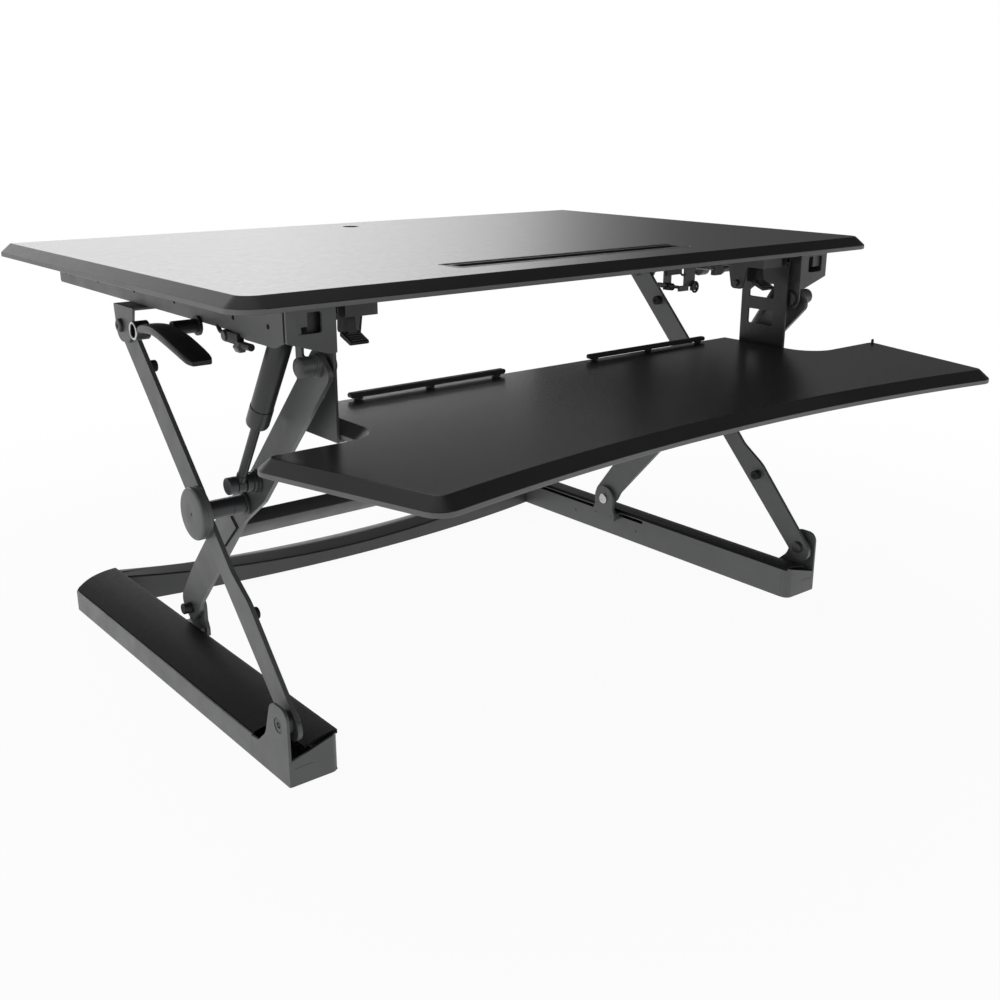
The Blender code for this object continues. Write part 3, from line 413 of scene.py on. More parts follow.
def bar(side, outline, y0, y1, holes=(), material=None):
    """A section (distance from the middle plane, height), drawn out along Y."""
    loops = [[(side * x, z) for x, z in loop] for loop in (outline, *holes)]
    return plate(loops, y1 - y0, (0, (y0 + y1) / 2, 0), XZ_PLANE, material)


def block(side, near, far, y0, y1, z0, z1, material=None):
    """Cuboid between two distances from the middle plane."""
    shape = bmesh.new()
    bmesh.ops.create_cube(shape, size=1.0)
    bmesh.ops.scale(shape, vec=(far - near, y1 - y0, z1 - z0), verts=shape.verts)
    middle = (side * (near + far) / 2, (y0 + y1) / 2, (z0 + z1) / 2)
    return new_solid(to_mesh(shape, "block"), middle, None, material)


def turned(profile, location, turn, material=None, segments=56, closed=False):
    """Lathe a profile of (height, radius) from the top down the outer side.

    An open profile is carried to the axis at both ends.
    """
    if not closed:
        head = [(profile[0][0], 0.0)] if profile[0][1] > 0 else []
        tail = [(profile[-1][0], 0.0)] if profile[-1][1] > 0 else []
        profile = [*head, *profile, *tail]
    shape = bmesh.new()
    points = [shape.verts.new((radius, 0, height)) for height, radius in profile]
    pairs = list(zip(points, points[1:]))
    if closed:
        pairs.append((points[-1], points[0]))
    for pair in pairs:
        shape.edges.new(pair)
    solid = new_solid(to_mesh(shape, "turned"), location, turn, material)
    screw = solid.modifiers.new("turn", "SCREW")
    screw.steps = screw.render_steps = segments
    screw.use_merge_vertices = True
    screw.merge_threshold = 1e-5
    return solid


def across(side):
    """Turns a lathe axis to point outwards, along X."""
    return Matrix.Rotation(side * pi / 2, 3, "Y")


def spun(side, at, profile, material=None, segments=56, closed=False):
    """Lathe work on an axis across the desk at (y, z), its heights measured outwards."""
    return turned(profile, (0, *at), across(side), material, segments, closed)


def stepped_pin(side, steps, at, material):
    """Solid pin across the X axis from (near, far, radius) steps, listed outwards."""
    profile = []
    for near, far, radius in reversed(steps):
        profile += [(far, radius), (near, radius)]
    return spun(side, at, profile, material)


def loft(rings, material=None):
    """Closed solid through rings of equal length, with flat ends."""
    shape = bmesh.new()
    loops = [[shape.verts.new(point) for point in ring] for ring in rings]
    for low, high in zip(loops, loops[1:]):
        for i in range(len(low)):
            j = (i + 1) % len(low)
            shape.faces.new((low[i], low[j], high[j], high[i]))
    shape.faces.new(loops[0])
    shape.faces.new(loops[-1])
    bmesh.ops.recalc_face_normals(shape, faces=shape.faces)
    return new_solid(to_mesh(shape, "loft"), material=material)


def tube(points, radius, material=None, closed=False):
    """Round wire along a smooth line."""
    curve = bpy.data.curves.new("wire", "CURVE")
    curve.dimensions = "3D"
    curve.bevel_depth = radius
    curve.bevel_resolution = 4
    curve.use_fill_caps = True
    add_line(curve, points, closed)
    return new_solid(to_mesh(welded(curve), "tube"), material=material)


def cut(solid, tools):
    for tool in tools:
        change = solid.modifiers.new("cut", "BOOLEAN")
        change.operation = "DIFFERENCE"
        change.object = tool
        mesh = evaluated_mesh(solid)
        solid.modifiers.clear()
        solid.data = mesh
        bpy.data.objects.remove(tool)
    return solid


def assemble(name, body, solids, replaces=(), round_edges=0.0005, segments=2):
    """Join solids into one named piece, round its edges and hang it on its body."""
    shape = bmesh.new()
    materials = []
    for solid in solids:
        mesh = mesh_of(solid)
        for material in mesh.materials:
            if material not in materials:
                materials.append(material)
        places = [materials.index(material) for material in mesh.materials]
        for face in mesh.polygons:
            face.material_index = places[face.material_index]
        shape.from_mesh(mesh)
        bpy.data.meshes.remove(mesh)
    for face in shape.faces:
        face.smooth = True
    mesh = to_mesh(shape, name)
    mesh.transform(Matrix.Translation((0, FRONT, 0)))
    for material in materials:
        mesh.materials.append(material)
    piece = bpy.data.objects.new(name, mesh)
    bpy.context.scene.collection.objects.link(piece)
    soften(piece, round_edges, segments)
    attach(piece, body)
    if replaces:
        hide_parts(*replaces)


def fit(stem, word, ending, body, solids, round_edges=0.0005, segments=2):
    """Assemble the piece that takes the place of one side's CAD node."""
    name = "%s_%s" % (stem, word)
    assemble("%s_%s" % (name, ending), body, solids, [name], round_edges, segments)


def soften(piece, width, segments=2):
    bevel = piece.modifiers.new("round_edges", "BEVEL")
    bevel.width = width
    bevel.segments = segments
    bevel.limit_method = "ANGLE"
    bevel.angle_limit = radians(28)
    bevel.harden_normals = True
    bevel.miter_outer = "MITER_ARC"
    bevel.use_clamp_overlap = True


def keep_node(node, material, width=0.0005):
    """A CAD node that stays: welded, softened and given its finish."""
    piece = frame["nodes"][node]
    piece.data.materials.clear()
    piece.data.materials.append(material)
    for face in piece.data.polygons:
        face.use_smooth = True
    weld = piece.modifiers.new("weld", "WELD")
    weld.merge_threshold = 1e-5
    soften(piece, width)


def screw_head(side, x, y, z):
    """Low button head, facing outwards along X."""
    radius, height = 0.0026, 0.0006
    dome = [(x + height, 0.0), (x + height, radius * 0.45), (x + height * 0.8, radius * 0.8),
        (x + height * 0.35, radius), (x, radius), (x, 0.0)]
    return spun(side, (y, z), dome, COVER, 32)


# ---- base ----------------------------------------------------------------------------------
def foot_plan(side, near, far, front, back, radius):
    corners = [(near, front, 0), (far, front, 0), (far, back, radius), (near, back, radius)]
    return [(side * x, y) for x, y in rounded(corners)]


def cover_line(drop=0.0):
    """The foot's crowned upper side, from its outer to its inner edge."""
    crown = [(0.4122, 0.029), (0.408, 0.0325), (0.4, 0.0378), (0.391, 0.0418), (0.381, 0.0445),
        (0.371, 0.0461), (0.36, 0.047)]
    return [(p.x, p.y - drop) for p in smooth_line(crown, 4)]


def make_rail(side, word):
    """Open steel channel with a slot in its inner wall for the lower carriage."""
    tall = FOOT_IN_TOP + 0.01
    wall_out = FOOT_IN + FOOT_WALL - GAP
    plan = rounded([(FOOT_IN, FOOT_INNER_FRONT, 0), (wall_out, FOOT_INNER_FRONT, 0),
        (wall_out, FOOT_SEAM + GAP, 0), (FOOT_OUT, FOOT_SEAM + GAP, 0), (FOOT_OUT, FOOT_BACK, 0.006),
        (FOOT_IN, FOOT_BACK, 0.006)])
    rail = plate([[(side * x, y) for x, y in plan]], tall - FOOT_BASE, (0, 0, (tall + FOOT_BASE) / 2),
        FLAT, STEEL)
    hollow = plate([foot_plan(side, FOOT_IN + FOOT_WALL, FOOT_OUT - FOOT_WALL, 0.05,
        FOOT_BACK - FOOT_WALL, 0.004)], tall, (0, 0, FOOT_BASE + FOOT_WALL + tall / 2), FLAT)
    above = [(CUT_OUT, FOOT_OUT_TOP), (0.4124, FOOT_OUT_TOP), *cover_line(COVER_WALL + GAP),
        (0.36, FOOT_IN_TOP), (CUT_IN, FOOT_IN_TOP), (CUT_IN, CUT_TOP), (CUT_OUT, CUT_TOP)]
    lid_room = bar(side, above, 0.02, 0.65)
    slot = plate([rounded_box(0.3, 0.5585, 0.0355, 0.0405, 0.0024)], 0.012, (side * 0.3553, 0, 0),
        YZ_PLANE)
    cut(rail, [hollow, lid_room, slot])
    screws = []
    for y in (0.314, 0.452):
        flat = [(0.0006, 0.0), (0.0006, 0.0016), (0.0001, 0.003), (-0.001, 0.003), (-0.001, 0.0)]
        screws.append(turned(flat, (side * (FOOT_IN + 0.0003), y, 0.02), across(-side), DARK_STEEL, 28))
    fit("base_rail", word, "channel", "base", [rail, *screws], 0.0006)


def make_cover(side, word):
    """Crowned plastic strip over the whole foot, notched around the outer ear."""
    skirt = [(FOOT_IN, 0.0466), (FOOT_IN, FOOT_IN_TOP + GAP), (0.3597, FOOT_IN_TOP + GAP)]
    under = list(reversed(cover_line(COVER_WALL)))
    cover = bar(side, cover_line() + skirt + under, 0.0252, FOOT_BACK + 0.01, (), COVER)
    plan = foot_plan(side, FOOT_IN - 0.01, FOOT_OUT, 0.0, FOOT_BACK, 0.006)
    beyond = plate([[(side * CUT_IN, -0.02), (side * CUT_OUT, -0.02), (side * CUT_OUT, 0.64),
        (side * CUT_IN, 0.64)], plan], 0.2, (0, 0, 0.05), FLAT)
    notch = side_plate(side, [rounded([(0.01, 0.0, 0), (FOOT_SEAM + GAP, 0.0, 0),
        (FOOT_SEAM + GAP, 0.03, 0.0), (0.09, 0.04, 0.01), (0.085, 0.06, 0), (0.01, 0.06, 0)])], 0.3955,
        CUT_OUT)
    cut(cover, [beyond, notch])
    fit("foot_cover", word, "strip", "base", [cover], 0.0006, 3)


def make_clevis(side, word):
    """Front end of the foot: an outer ear for the arm's pivot, a front wall and an inner wall."""
    ear_front = FOOT_FRONT + GAP
    ear = rounded([(ear_front, FOOT_BASE, 0.001), (FOOT_SEAM, FOOT_BASE, 0), (FOOT_SEAM, 0.027, 0),
        (0.086, 0.0275, 0.006), (0.068, 0.044, 0.02), (0.055, 0.085, 0.0135), (ear_front, 0.085, 0.0125)],
        14)
    outer = side_plate(side, [ear, circle(*LOW_PIVOT, PIVOT_BORE)], FOOT_OUT - 0.003, FOOT_OUT, STEEL)
    wrap = rounded([(0.4138, FOOT_FRONT, 0.0012), (FOOT_IN, FOOT_FRONT, 0.0095),
        (FOOT_IN, FOOT_INNER_FRONT - GAP, 0), (FOOT_IN + FOOT_WALL, FOOT_INNER_FRONT - GAP, 0),
        (FOOT_IN + FOOT_WALL, FOOT_FRONT + FOOT_WALL, 0.007), (0.4138, FOOT_FRONT + FOOT_WALL, 0)])
    wall = plate([[(side * x, y) for x, y in wrap]], 0.06, (0, 0, FOOT_BASE + GAP + 0.03), FLAT, STEEL)
    slope = bar(side, [(CUT_OUT, 0.0246), (0.4138, 0.0293), (0.36, 0.0445), (CUT_IN, 0.0501),
        (CUT_IN, CUT_TOP), (CUT_OUT, CUT_TOP)], 0.0, 0.0272)
    level = bar(side, [(CUT_IN, FOOT_IN_TOP), (CUT_OUT, FOOT_IN_TOP), (CUT_OUT, CUT_TOP),
        (CUT_IN, CUT_TOP)], 0.027, 0.2)
    groove = block(side, 0.388, 0.4085, FOOT_FRONT - 0.001, FOOT_FRONT + 0.0004, 0.0216, 0.0221)
    cut(wall, [slope, level, groove])
    floor = block(side, FOOT_IN + FOOT_WALL + GAP, FOOT_OUT - 0.0012, FOOT_FRONT + 0.0016,
        FOOT_SEAM - 2 * GAP, FOOT_BASE + 3 * GAP, FOOT_BASE + FOOT_WALL + GAP, STEEL)
    fit("front_clevis", word, "end", "base", [outer, wall, floor], 0.0005)


def make_pivot_pin(side, word):
    pin = spun(side, LOW_PIVOT, [(0.4142, 0.0016), (0.413, 0.0018), (0.413, 0.003), (0.4144, 0.0034),
        (0.4144, 0.0079), (0.4115, 0.0079), (0.4115, 0.012), (0.4034, 0.012), (0.4034, 0.0079),
        (0.3977, 0.0079), (0.3977, 0.0075), (0.3945, 0.0075), (0.3937, 0.0068), (0.3935, 0.006)],
        DARK_STEEL)
    fit("lower_pivot_pin", word, "turned", "base", [pin], 0.0003)


def make_beam():
    """Bowed cross beam between the feet: an upright channel under a leaning cap."""
    half, stations = FOOT_IN - GAP, 48
    lower, upper = [], []
    for i in range(stations + 1):
        x = half * (2 * i / stations - 1)
        front, back = 0.541 + 0.285 * x * x, 0.575 + 0.12 * x * x
        step_line, ridge = 0.02 + 0.156 * x * x, 0.03 + 0.118 * x * x
        lower.append([(x, front, FOOT_BASE), (x, back, FOOT_BASE), (x, back, step_line),
            (x, front + 0.0016, step_line), (x, front, step_line - 0.0012)])
        rise = step_line + 0.0005
        upper.append([(x, front + 0.001, rise + 0.0004), (x, front + 0.0026, rise), (x, back, rise),
            (x, back, ridge - 0.0022), (x, back - 0.0018, ridge - 0.0008), (x, front + 0.018, ridge),
            (x, front + 0.0145, ridge - 0.001)])
    # The channel takes the darker painted-shade steel, the lid the plain coated steel.
    assemble("rear_beam_channel", "base", [loft(lower, BEAM_SHADE_STEEL)], ["rear_beam"],
        0.0005)
    assemble("rear_beam_lid", "base", [loft(upper, STEEL)], ["rear_beam_cap"], 0.0005)


# ---- arms ----------------------------------------------------------------------------------
def outer_arm_point(along, over):
    return (FRONT_PIVOT_Y + along * cos(ARM_ANGLE) - over * sin(ARM_ANGLE),
        LOW_PIVOT_Z + along * sin(ARM_ANGLE) + over * cos(ARM_ANGLE))


def make_outer_arm(side, word):
    """Flat arm from the foot's front pivot up to the upper carriage."""
    low_end, high_end = -0.0205, ARM_LENGTH + 0.018
    outline = rounded([(low_end, -0.0145, 0.014), (0.19, -0.0158, 0.2), (0.3, -0.0152, 0.2),
        (high_end, -0.0155, 0.015), (high_end, 0.0165, 0.015), (0.255, 0.0168, 0.03), (0.228, 0.01, 0.03),
        (0.165, 0.009, 0.05), (0.125, 0.0178, 0.05), (low_end, 0.014, 0.014)], 12)
    holes = [circle(0, 0, PIVOT_BORE), circle(ARM_LENGTH / 2, 0, PIVOT_BORE),
        circle(ARM_LENGTH, 0, BOLT_BORE)]
    middle = (side * sum(OUTER_ARM) / 2, *LOW_PIVOT)
    turn = Matrix.Rotation(ARM_ANGLE, 3, "X") @ YZ_PLANE
    arm = plate([outline, *holes], OUTER_ARM[1] - OUTER_ARM[0], middle, turn, STEEL)
    fit("outer_arm", word, "plate", "outer_arms", [arm], 0.0008, 3)

    disc = spun(side, HUB, [(0.4136, 0.0014), (0.4145, 0.0018), (0.4147, 0.006), (0.4147, 0.025),
        (0.4144, 0.0266), (0.4137, 0.0277), (0.4126, 0.0283), (0.4088, 0.0283), (0.4086, 0.0279),
        (0.408, 0.0279), (0.4078, 0.0283), (0.4033, 0.0283), (0.4033, 0.0083), (0.407, 0.0083)], STEEL,
        96)
    fit("hub_disc", word, "cap", "outer_arms", [disc], 0.0002)

    for place, along, over in (("lower", 0.117, 0.003), ("upper", 0.42, 0.007)):
        y, z = outer_arm_point(along, over)
        bumper = spun(side, (y, z), [(0.3975, 0.0065), (0.3905, 0.0065), (0.3897, 0.006), (0.3895, 0.005),
            (0.3895, 0.002), (0.391, 0.0016)], RUBBER, 40)
        assemble("arm_bumper_%s_%s_stop" % (place, word), "outer_arms", [bumper],
            ["arm_bumper_%s_%s" % (place, word)], 0.0002)


def make_inner_arm(side, word):
    """Flat arm from the desk's front pivot down to the lower carriage, with a hinge barrel."""
    high_end, low_end = -0.0105, ARM_LENGTH + 0.0178
    outline = rounded([(high_end, -0.0215, 0.01), (0.205, -0.0225, 0.03), (0.262, -0.011, 0.05),
        (0.452, -0.011, 0.02), (0.466, -0.0148, 0.01), (low_end, -0.0142, 0.014),
        (low_end, 0.0235, 0.015), (0.43, 0.0298, 0.05), (0.285, 0.03, 0.05), (0.235, 0.0155, 0.05),
        (high_end, 0.016, 0.01)], 12)
    holes = [circle(0, 0, SLIDE_BORE), circle(ARM_LENGTH / 2, 0, PIVOT_BORE),
        circle(ARM_LENGTH, 0, SLIDE_BORE)]
    middle = (side * sum(INNER_ARM) / 2, *HIGH_PIVOT)
    turn = Matrix.Rotation(-ARM_ANGLE, 3, "X") @ YZ_PLANE
    arm = plate([outline, *holes], INNER_ARM[1] - INNER_ARM[0], middle, turn, STEEL)
    barrel = spun(side, HIGH_PIVOT, [(0.3724, 0.0064), (0.3724, 0.0088), (0.3717, 0.0095),
        (0.358, 0.0095), (0.3577, 0.0092), (0.3574, 0.0102), (0.3556, 0.0102), (0.3554, 0.0112),
        (0.3515, 0.0112), (0.3515, 0.0064)], STEEL, 64, True)
    fit("inner_arm", word, "plate", "inner_arms", [arm, barrel], 0.0006, 2)

    def layer(points, thickness, material):
        centre = (side * (INNER_ARM[1] + thickness / 2 - 0.0002), *HIGH_PIVOT)
        return plate([rounded(points, 6)], thickness, centre, turn, material)

    lap = layer([(0.286, 0.0262, 0.001), (0.284, -0.0052, 0.001), (0.327, -0.0022, 0.006),
        (0.345, 0.006, 0.004), (0.345, 0.0262, 0.002)], 0.0016, STEEL)
    # Painted shadow: a thin black plate a little larger than the lap stands for the dark shadow line
    # along the lap's edge.
    step_line = layer([(0.2825, 0.0262, 0.001), (0.2798, -0.0078, 0.001), (0.3276, -0.0042, 0.006),
        (0.3466, 0.0044, 0.004), (0.3466, 0.0262, 0.002)], 0.0008, COVER)
    assemble("arm_lap_" + word, "inner_arms", [lap, step_line], (), 0.0002)

    axle = spun(side, HUB, [(0.4066, 0.008), (0.3977, 0.008), (0.3977, 0.0099), (0.3973, 0.0103),
        (0.3704, 0.0103), (0.3702, 0.0099), (0.3699, 0.0099), (0.3697, 0.0103), (0.3564, 0.0103),
        (0.3562, 0.0121), (0.3557, 0.0125), (0.3523, 0.0125), (0.3523, 0.008), (0.3467, 0.008),
        (0.3467, 0.0115), (0.341, 0.0115), (0.34, 0.0105)], DARK_STEEL, 64)
    fit("centre_axle", word, "turned", "inner_arms", [axle], 0.0002)

    stud = spun(side, STUD, [(0.387, 0.0084), (0.3864, 0.0091), (0.3855, 0.0092), (0.378, 0.0092),
        (0.378, 0.0055), (0.3668, 0.0055), (0.3668, 0.0093), (0.366, 0.0095), (0.3604, 0.0095),
        (0.3602, 0.0089), (0.36, 0.0089), (0.3598, 0.0108), (0.359, 0.011), (0.3564, 0.011),
        (0.3562, 0.0104), (0.356, 0.0104), (0.3558, 0.0123), (0.355, 0.0125), (0.3523, 0.0125)],
        DARK_STEEL, 56)
    fit("spring_stud", word, "turned", "inner_arms", [stud], 0.0002)


# ---- carriages -----------------------------------------------------------------------------
def make_lower_carriage(side, word):
    """Lug beside the inner arm's lower end, with a tongue into the foot and a sliding shoe."""
    y = REAR_PIVOT_Y
    lug = side_plate(side, [rounded([(y - 0.024, 0.0305, 0.002), (y + 0.024, 0.0305, 0.002),
        (y + 0.024, 0.041, 0.004), (y + 0.0195, 0.05, 0.01), (y + 0.0195, 0.0835, 0.018),
        (y - 0.0195, 0.0835, 0.018), (y - 0.0195, 0.05, 0.01), (y - 0.024, 0.041, 0.004)]),
        circle(*LOWER_CARRIAGE, SLIDE_BORE)], 0.3405, 0.3455, STEEL)
    base = block(side, 0.3445, 0.3566, y - 0.0195, y + 0.0195, 0.031, 0.0405, STEEL)
    tongue = block(side, 0.3555, 0.362, y - 0.0185, y + 0.0185, 0.036, 0.04, ZINC)
    shoe = block(side, 0.3605, 0.372, y - 0.026, y + 0.026, 0.006, 0.041, BLACK)
    rivets = [spun(-side, (y + step, 0.038), [(-0.34, 0.0012), (-0.3404, 0.0018), (-0.3415, 0.0018)],
        DARK_STEEL, 24) for step in (-0.0165, 0.0165)]
    fit("lower_carriage", word, "lug", "lower_carriages",
        [lug, base, tongue, shoe, *rivets], 0.0006)
    pin = spun(side, LOWER_CARRIAGE, [(0.3524, 0.006), (0.3402, 0.006), (0.3402, 0.0078),
        (0.3386, 0.0078), (0.338, 0.0072), (0.338, 0.003), (0.3386, 0.0026)], ZINC, 48)
    roller = spun(side, LOWER_CARRIAGE, [(0.3632, 0.0022), (0.3637, 0.0026), (0.3637, 0.006),
        (0.3629, 0.0068), (0.3532, 0.0068), (0.3524, 0.0062)], BLACK, 48)
    fit("lower_slide_pin", word, "turned", "lower_carriages", [pin, roller], 0.0002)


def make_upper_carriage(side, word):
    """Ear outside the outer arm's top, hooked over the side frame's lower flange."""
    y = REAR_PIVOT_Y
    ear = side_plate(side, [rounded([(y - 0.037, 0.437, 0.001), (y - 0.032, 0.418, 0.01),
        (y - 0.0205, 0.3962, 0.0155), (y + 0.0125, 0.3962, 0.0155), (y + 0.0165, 0.437, 0.001)]),
        circle(*UPPER_CARRIAGE, BOLT_BORE)], 0.4034, 0.4064, STEEL)
    hook = [(0.4049, 0.4343), (0.3765, 0.4343), (0.3765, 0.4428), (0.3862, 0.4428), (0.3862, 0.4406),
        (0.3785, 0.4406), (0.3785, 0.437), (0.4049, 0.437)]
    shelf = bar(side, hook, y - 0.0365, y + 0.016, (), STEEL)
    fit("upper_carriage", word, "ear", "upper_carriages", [ear, shelf], 0.0005)
    bolt = spun(side, UPPER_CARRIAGE, [(0.4097, 0.0022), (0.4106, 0.0026), (0.4108, 0.0036),
        (0.4106, 0.006), (0.4097, 0.0073), (0.4085, 0.0075), (0.4067, 0.0075), (0.4067, 0.005),
        (0.3977, 0.005), (0.3977, 0.008), (0.393, 0.008), (0.3925, 0.0075)], DARK_STEEL, 48)
    fit("upper_slide_bolt", word, "head", "upper_carriages", [bolt], 0.0002)


# ---- gas springs ---------------------------------------------------------------------------
def make_gas_spring(side, word):
    """The lathe axis runs up the spring, from the stud on the arm to the eye under the desk."""
    turn = Matrix.Rotation(SPRING_ANGLE - pi / 2, 3, "X")
    foot = (side * SPRING_X, *STUD)
    top = SPRING_LENGTH
    tube_end = top - 0.1316
    shaft = turned([(tube_end + 0.035, 0.005), (0.015, 0.005), (0.0145, 0.0058), (0.006, 0.0058)], foot,
        turn, SPRING_PAINT, 40)
    eye = turned([(0.0045, 0.0058), (0.0045, 0.0086), (0.0041, 0.009), (-0.0041, 0.009),
        (-0.0045, 0.0086), (-0.0045, 0.0058)], foot, across(side), SPRING_PAINT, 48, True)
    fit("gas_rod", word, "shaft", "spring_rods", [shaft, eye], 0.0002)
    tube_body = turned([(top + 0.009, 0.0055), (top + 0.0085, 0.006), (top - 0.009, 0.0062),
        (top - 0.0112, 0.009), (top - 0.0125, 0.0108), (top - 0.014, 0.0115), (tube_end + 0.0258, 0.0115),
        (tube_end + 0.0254, 0.0111), (tube_end + 0.0248, 0.0111), (tube_end + 0.0244, 0.0119),
        (tube_end + 0.004, 0.0119), (tube_end + 0.0016, 0.0113), (tube_end + 0.0004, 0.0102),
        (tube_end, 0.009), (tube_end, 0.0053), (tube_end + 0.076, 0.0053)], foot, turn, SPRING_PAINT, 64)
    fit("gas_cylinder", word, "tube", "spring_cylinders", [tube_body], 0.0002)


# ---- boards --------------------------------------------------------------------------------
def board(outline, bottom, top, chamfer):
    """Laminated board: an upright band, then a chamfer all round the upper edge."""
    rings = [(outline, bottom), (outline, bottom + EDGE_BAND), (inset(outline, EDGE_CHAMFER), top)]
    solid = loft([[(x, y, z) for x, y in ring] for ring, z in rings])
    for material in (BOARD, chamfer, BAND):
        solid.data.materials.append(material)
    for face in solid.data.polygons:
        if abs(face.normal.z) > 0.99:
            face.material_index = 0
        elif face.normal.z > 0.1:
            face.material_index = 1
        else:
            face.material_index = 2
    return solid


def slot_plan(half=SLOT_HALF, front=SLOT_FRONT, back=SLOT_BACK, radius=0.006):
    return rounded([(half, front, radius), (half, back, radius), (-half, back, radius),
        (-half, front, radius)])


def make_desktop():
    half = [(0.0, 0.0)] + rounded([(0.0, 0.0, 0), (DESK_HALF_FRONT, 0.0, 0.028),
        (DESK_HALF_BACK, DESK_DEPTH, 0.0125), (0.0, DESK_DEPTH, 0)], 20)[1:]
    top = board(mirrored(half), DESK_BOTTOM, DESK_TOP, CHAMFER)
    pocket = plate([slot_plan(SLOT_HALF + GAP, SLOT_FRONT - GAP, SLOT_BACK + GAP)],
        2 * (DESK_TOP - SLOT_BOTTOM + GAP), (0, 0, DESK_TOP), FLAT, BOARD)
    hole = plate([circle(0, GROMMET_Y, GROMMET_R + GAP)], 0.1, (0, 0, DESK_TOP), FLAT, BOARD)
    cut(top, [pocket, hole])
    assemble("desktop_board", "desk", [top], ["desktop"], 0.0007, 3)


def make_tablet_slot():
    """Plastic trough let into the desktop, with a lip in front and a deep groove behind it."""
    trough = plate([slot_plan()], DESK_TOP - SLOT_BOTTOM, (0, 0, (DESK_TOP + SLOT_BOTTOM) / 2), FLAT,
        BLACK)
    groove = plate([slot_plan(SLOT_HALF - 0.008, SLOT_FRONT + 0.01, SLOT_BACK - 0.014, 0.004)], 0.011,
        (0, 0, DESK_TOP), FLAT, BLACK)
    dish = plate([slot_plan(SLOT_HALF - 0.003, SLOT_BACK - 0.012, SLOT_BACK - 0.003, 0.002)], 0.0016,
        (0, 0, DESK_TOP), FLAT, BLACK)
    cut(trough, [groove, dish])
    assemble("tablet_slot_trough", "desk", [trough], ["tablet_slot"], 0.0004)


def make_grommet():
    ring = turned([(DESK_TOP - 0.0002, GROMMET_R - 0.0016), (DESK_TOP, GROMMET_R - 0.0008),
        (DESK_TOP - 0.0003, GROMMET_R), (DESK_BOTTOM, GROMMET_R), (DESK_BOTTOM, GROMMET_R - 0.0018),
        (DESK_TOP - 0.001, GROMMET_R - 0.0018)], (0, GROMMET_Y, 0), FLAT, BLACK, 64, True)
    assemble("cable_grommet_ring", "desk", [ring], ["cable_grommet"], 0.0002)


def make_tray():
    curve_end, samples = 0.372, 24
    front, bow = -0.177, 0.245
    across_front = [curve_end * i / samples for i in range(samples)]
    half = [(x, front - bow * x ** 2) for x in across_front]
    back = -0.006
    half += rounded([half[-1] + (0,), (0.398, -0.2155, 0.02), (0.4555, back, 0.018), (0.33, back, 0.026),
        (0.33, TRAY_BACK, 0.0125), (0.0, TRAY_BACK, 0)], 16)[1:]
    tray = board(mirrored(half), TRAY_BOTTOM, TRAY_TOP, TRAY_CHAMFER)
    assemble("keyboard_tray_board", "tray", [tray], ["keyboard_tray"], 0.0007, 3)


# ---- frames under the desktop --------------------------------------------------------------
def make_side_frame(side, word):
    """Side plate under the desktop, flanged inwards, with its row of screws."""
    web = side_plate(side, [rounded([(0.0325, FRAME_TOP, 0), (0.0325, 0.44, 0.001), (0.05, 0.433, 0.008),
        (0.105, 0.433, 0.01), (0.13, 0.438, 0.01), (0.596, 0.438, 0.003), (0.596, FRAME_TOP, 0)])],
        SIDE_IN, SIDE_OUT, STEEL)
    top = block(side, 0.366, SIDE_IN + 0.001, 0.0292, 0.596, FRAME_TOP - 0.002, FRAME_TOP, STEEL)
    lower = block(side, 0.3792, SIDE_IN + 0.001, 0.29, 0.5955, 0.438, 0.4402, STEEL)
    stud = stepped_pin(side, [(0.3805, SIDE_IN + 0.001, 0.006)], SPRING_TOP, DARK_STEEL)
    # Painted shade: a thin black sheet just behind the front plate stands for the shade there.
    shade = block(side, 0.3835, 0.386, 0.03, 0.046, 0.44, FRAME_TOP - 0.003, BLACK)
    screws = [screw_head(side, SIDE_OUT - 0.0001, y, 0.4515) for y in SCREW_ROW]
    fit("side_frame", word, "plate", "desk", [web, top, lower, stud, shade, *screws],
        0.0004)


def make_front_bracket(side, word):
    """Front plate with its window, and the cheek that carries the inner arm's upper pivot."""
    face = bar(side, rounded([(0.39, FRAME_TOP, 0), (0.39, 0.44, 0.001), (0.348, 0.427, 0.002),
        (0.3385, 0.427, 0), (0.3385, FRAME_TOP, 0)]), 0.026, 0.0289,
        [rounded_box(0.3535, 0.3802, 0.447, 0.4666, 0.003)], STEEL)
    top = FRAME_TOP - 2 * GAP
    cheek = side_plate(side, [rounded([(0.0272, top, 0), (0.0272, 0.4, 0.013), (0.0545, 0.4, 0.013),
        (0.06, 0.442, 0.02), (0.1, 0.46, 0.004), (0.1, top, 0)], 14), circle(*HIGH_PIVOT, 0.0062)],
        0.3402, 0.3427, STEEL)
    flange = block(side, 0.3412, 0.365, 0.0278, 0.098, FRAME_TOP - 0.002, FRAME_TOP - GAP, STEEL)
    boss = block(side, 0.3665, 0.3805, 0.0296, 0.044, 0.453, 0.469, STEEL)
    # Painted shade: a black block behind the front plate's window stands for the dark interior seen
    # through it.
    painted_shade_block = block(side, 0.35, 0.365, 0.034, 0.044, 0.444, 0.469, BLACK)
    fit("front_bracket", word, "plate", "desk", [face, cheek, flange, boss, painted_shade_block],
        0.0005)
    pin = spun(side, HIGH_PIVOT, [(0.3742, 0.0), (0.374, 0.005), (0.3735, 0.008), (0.3727, 0.0093),
        (0.3727, 0.006), (0.3397, 0.006), (0.3397, 0.01), (0.3368, 0.01), (0.3362, 0.0092),
        (0.3362, 0.003), (0.337, 0.0026)], DARK_STEEL, 48)
    fit("front_pivot_pin", word, "turned", "desk", [pin], 0.0002)


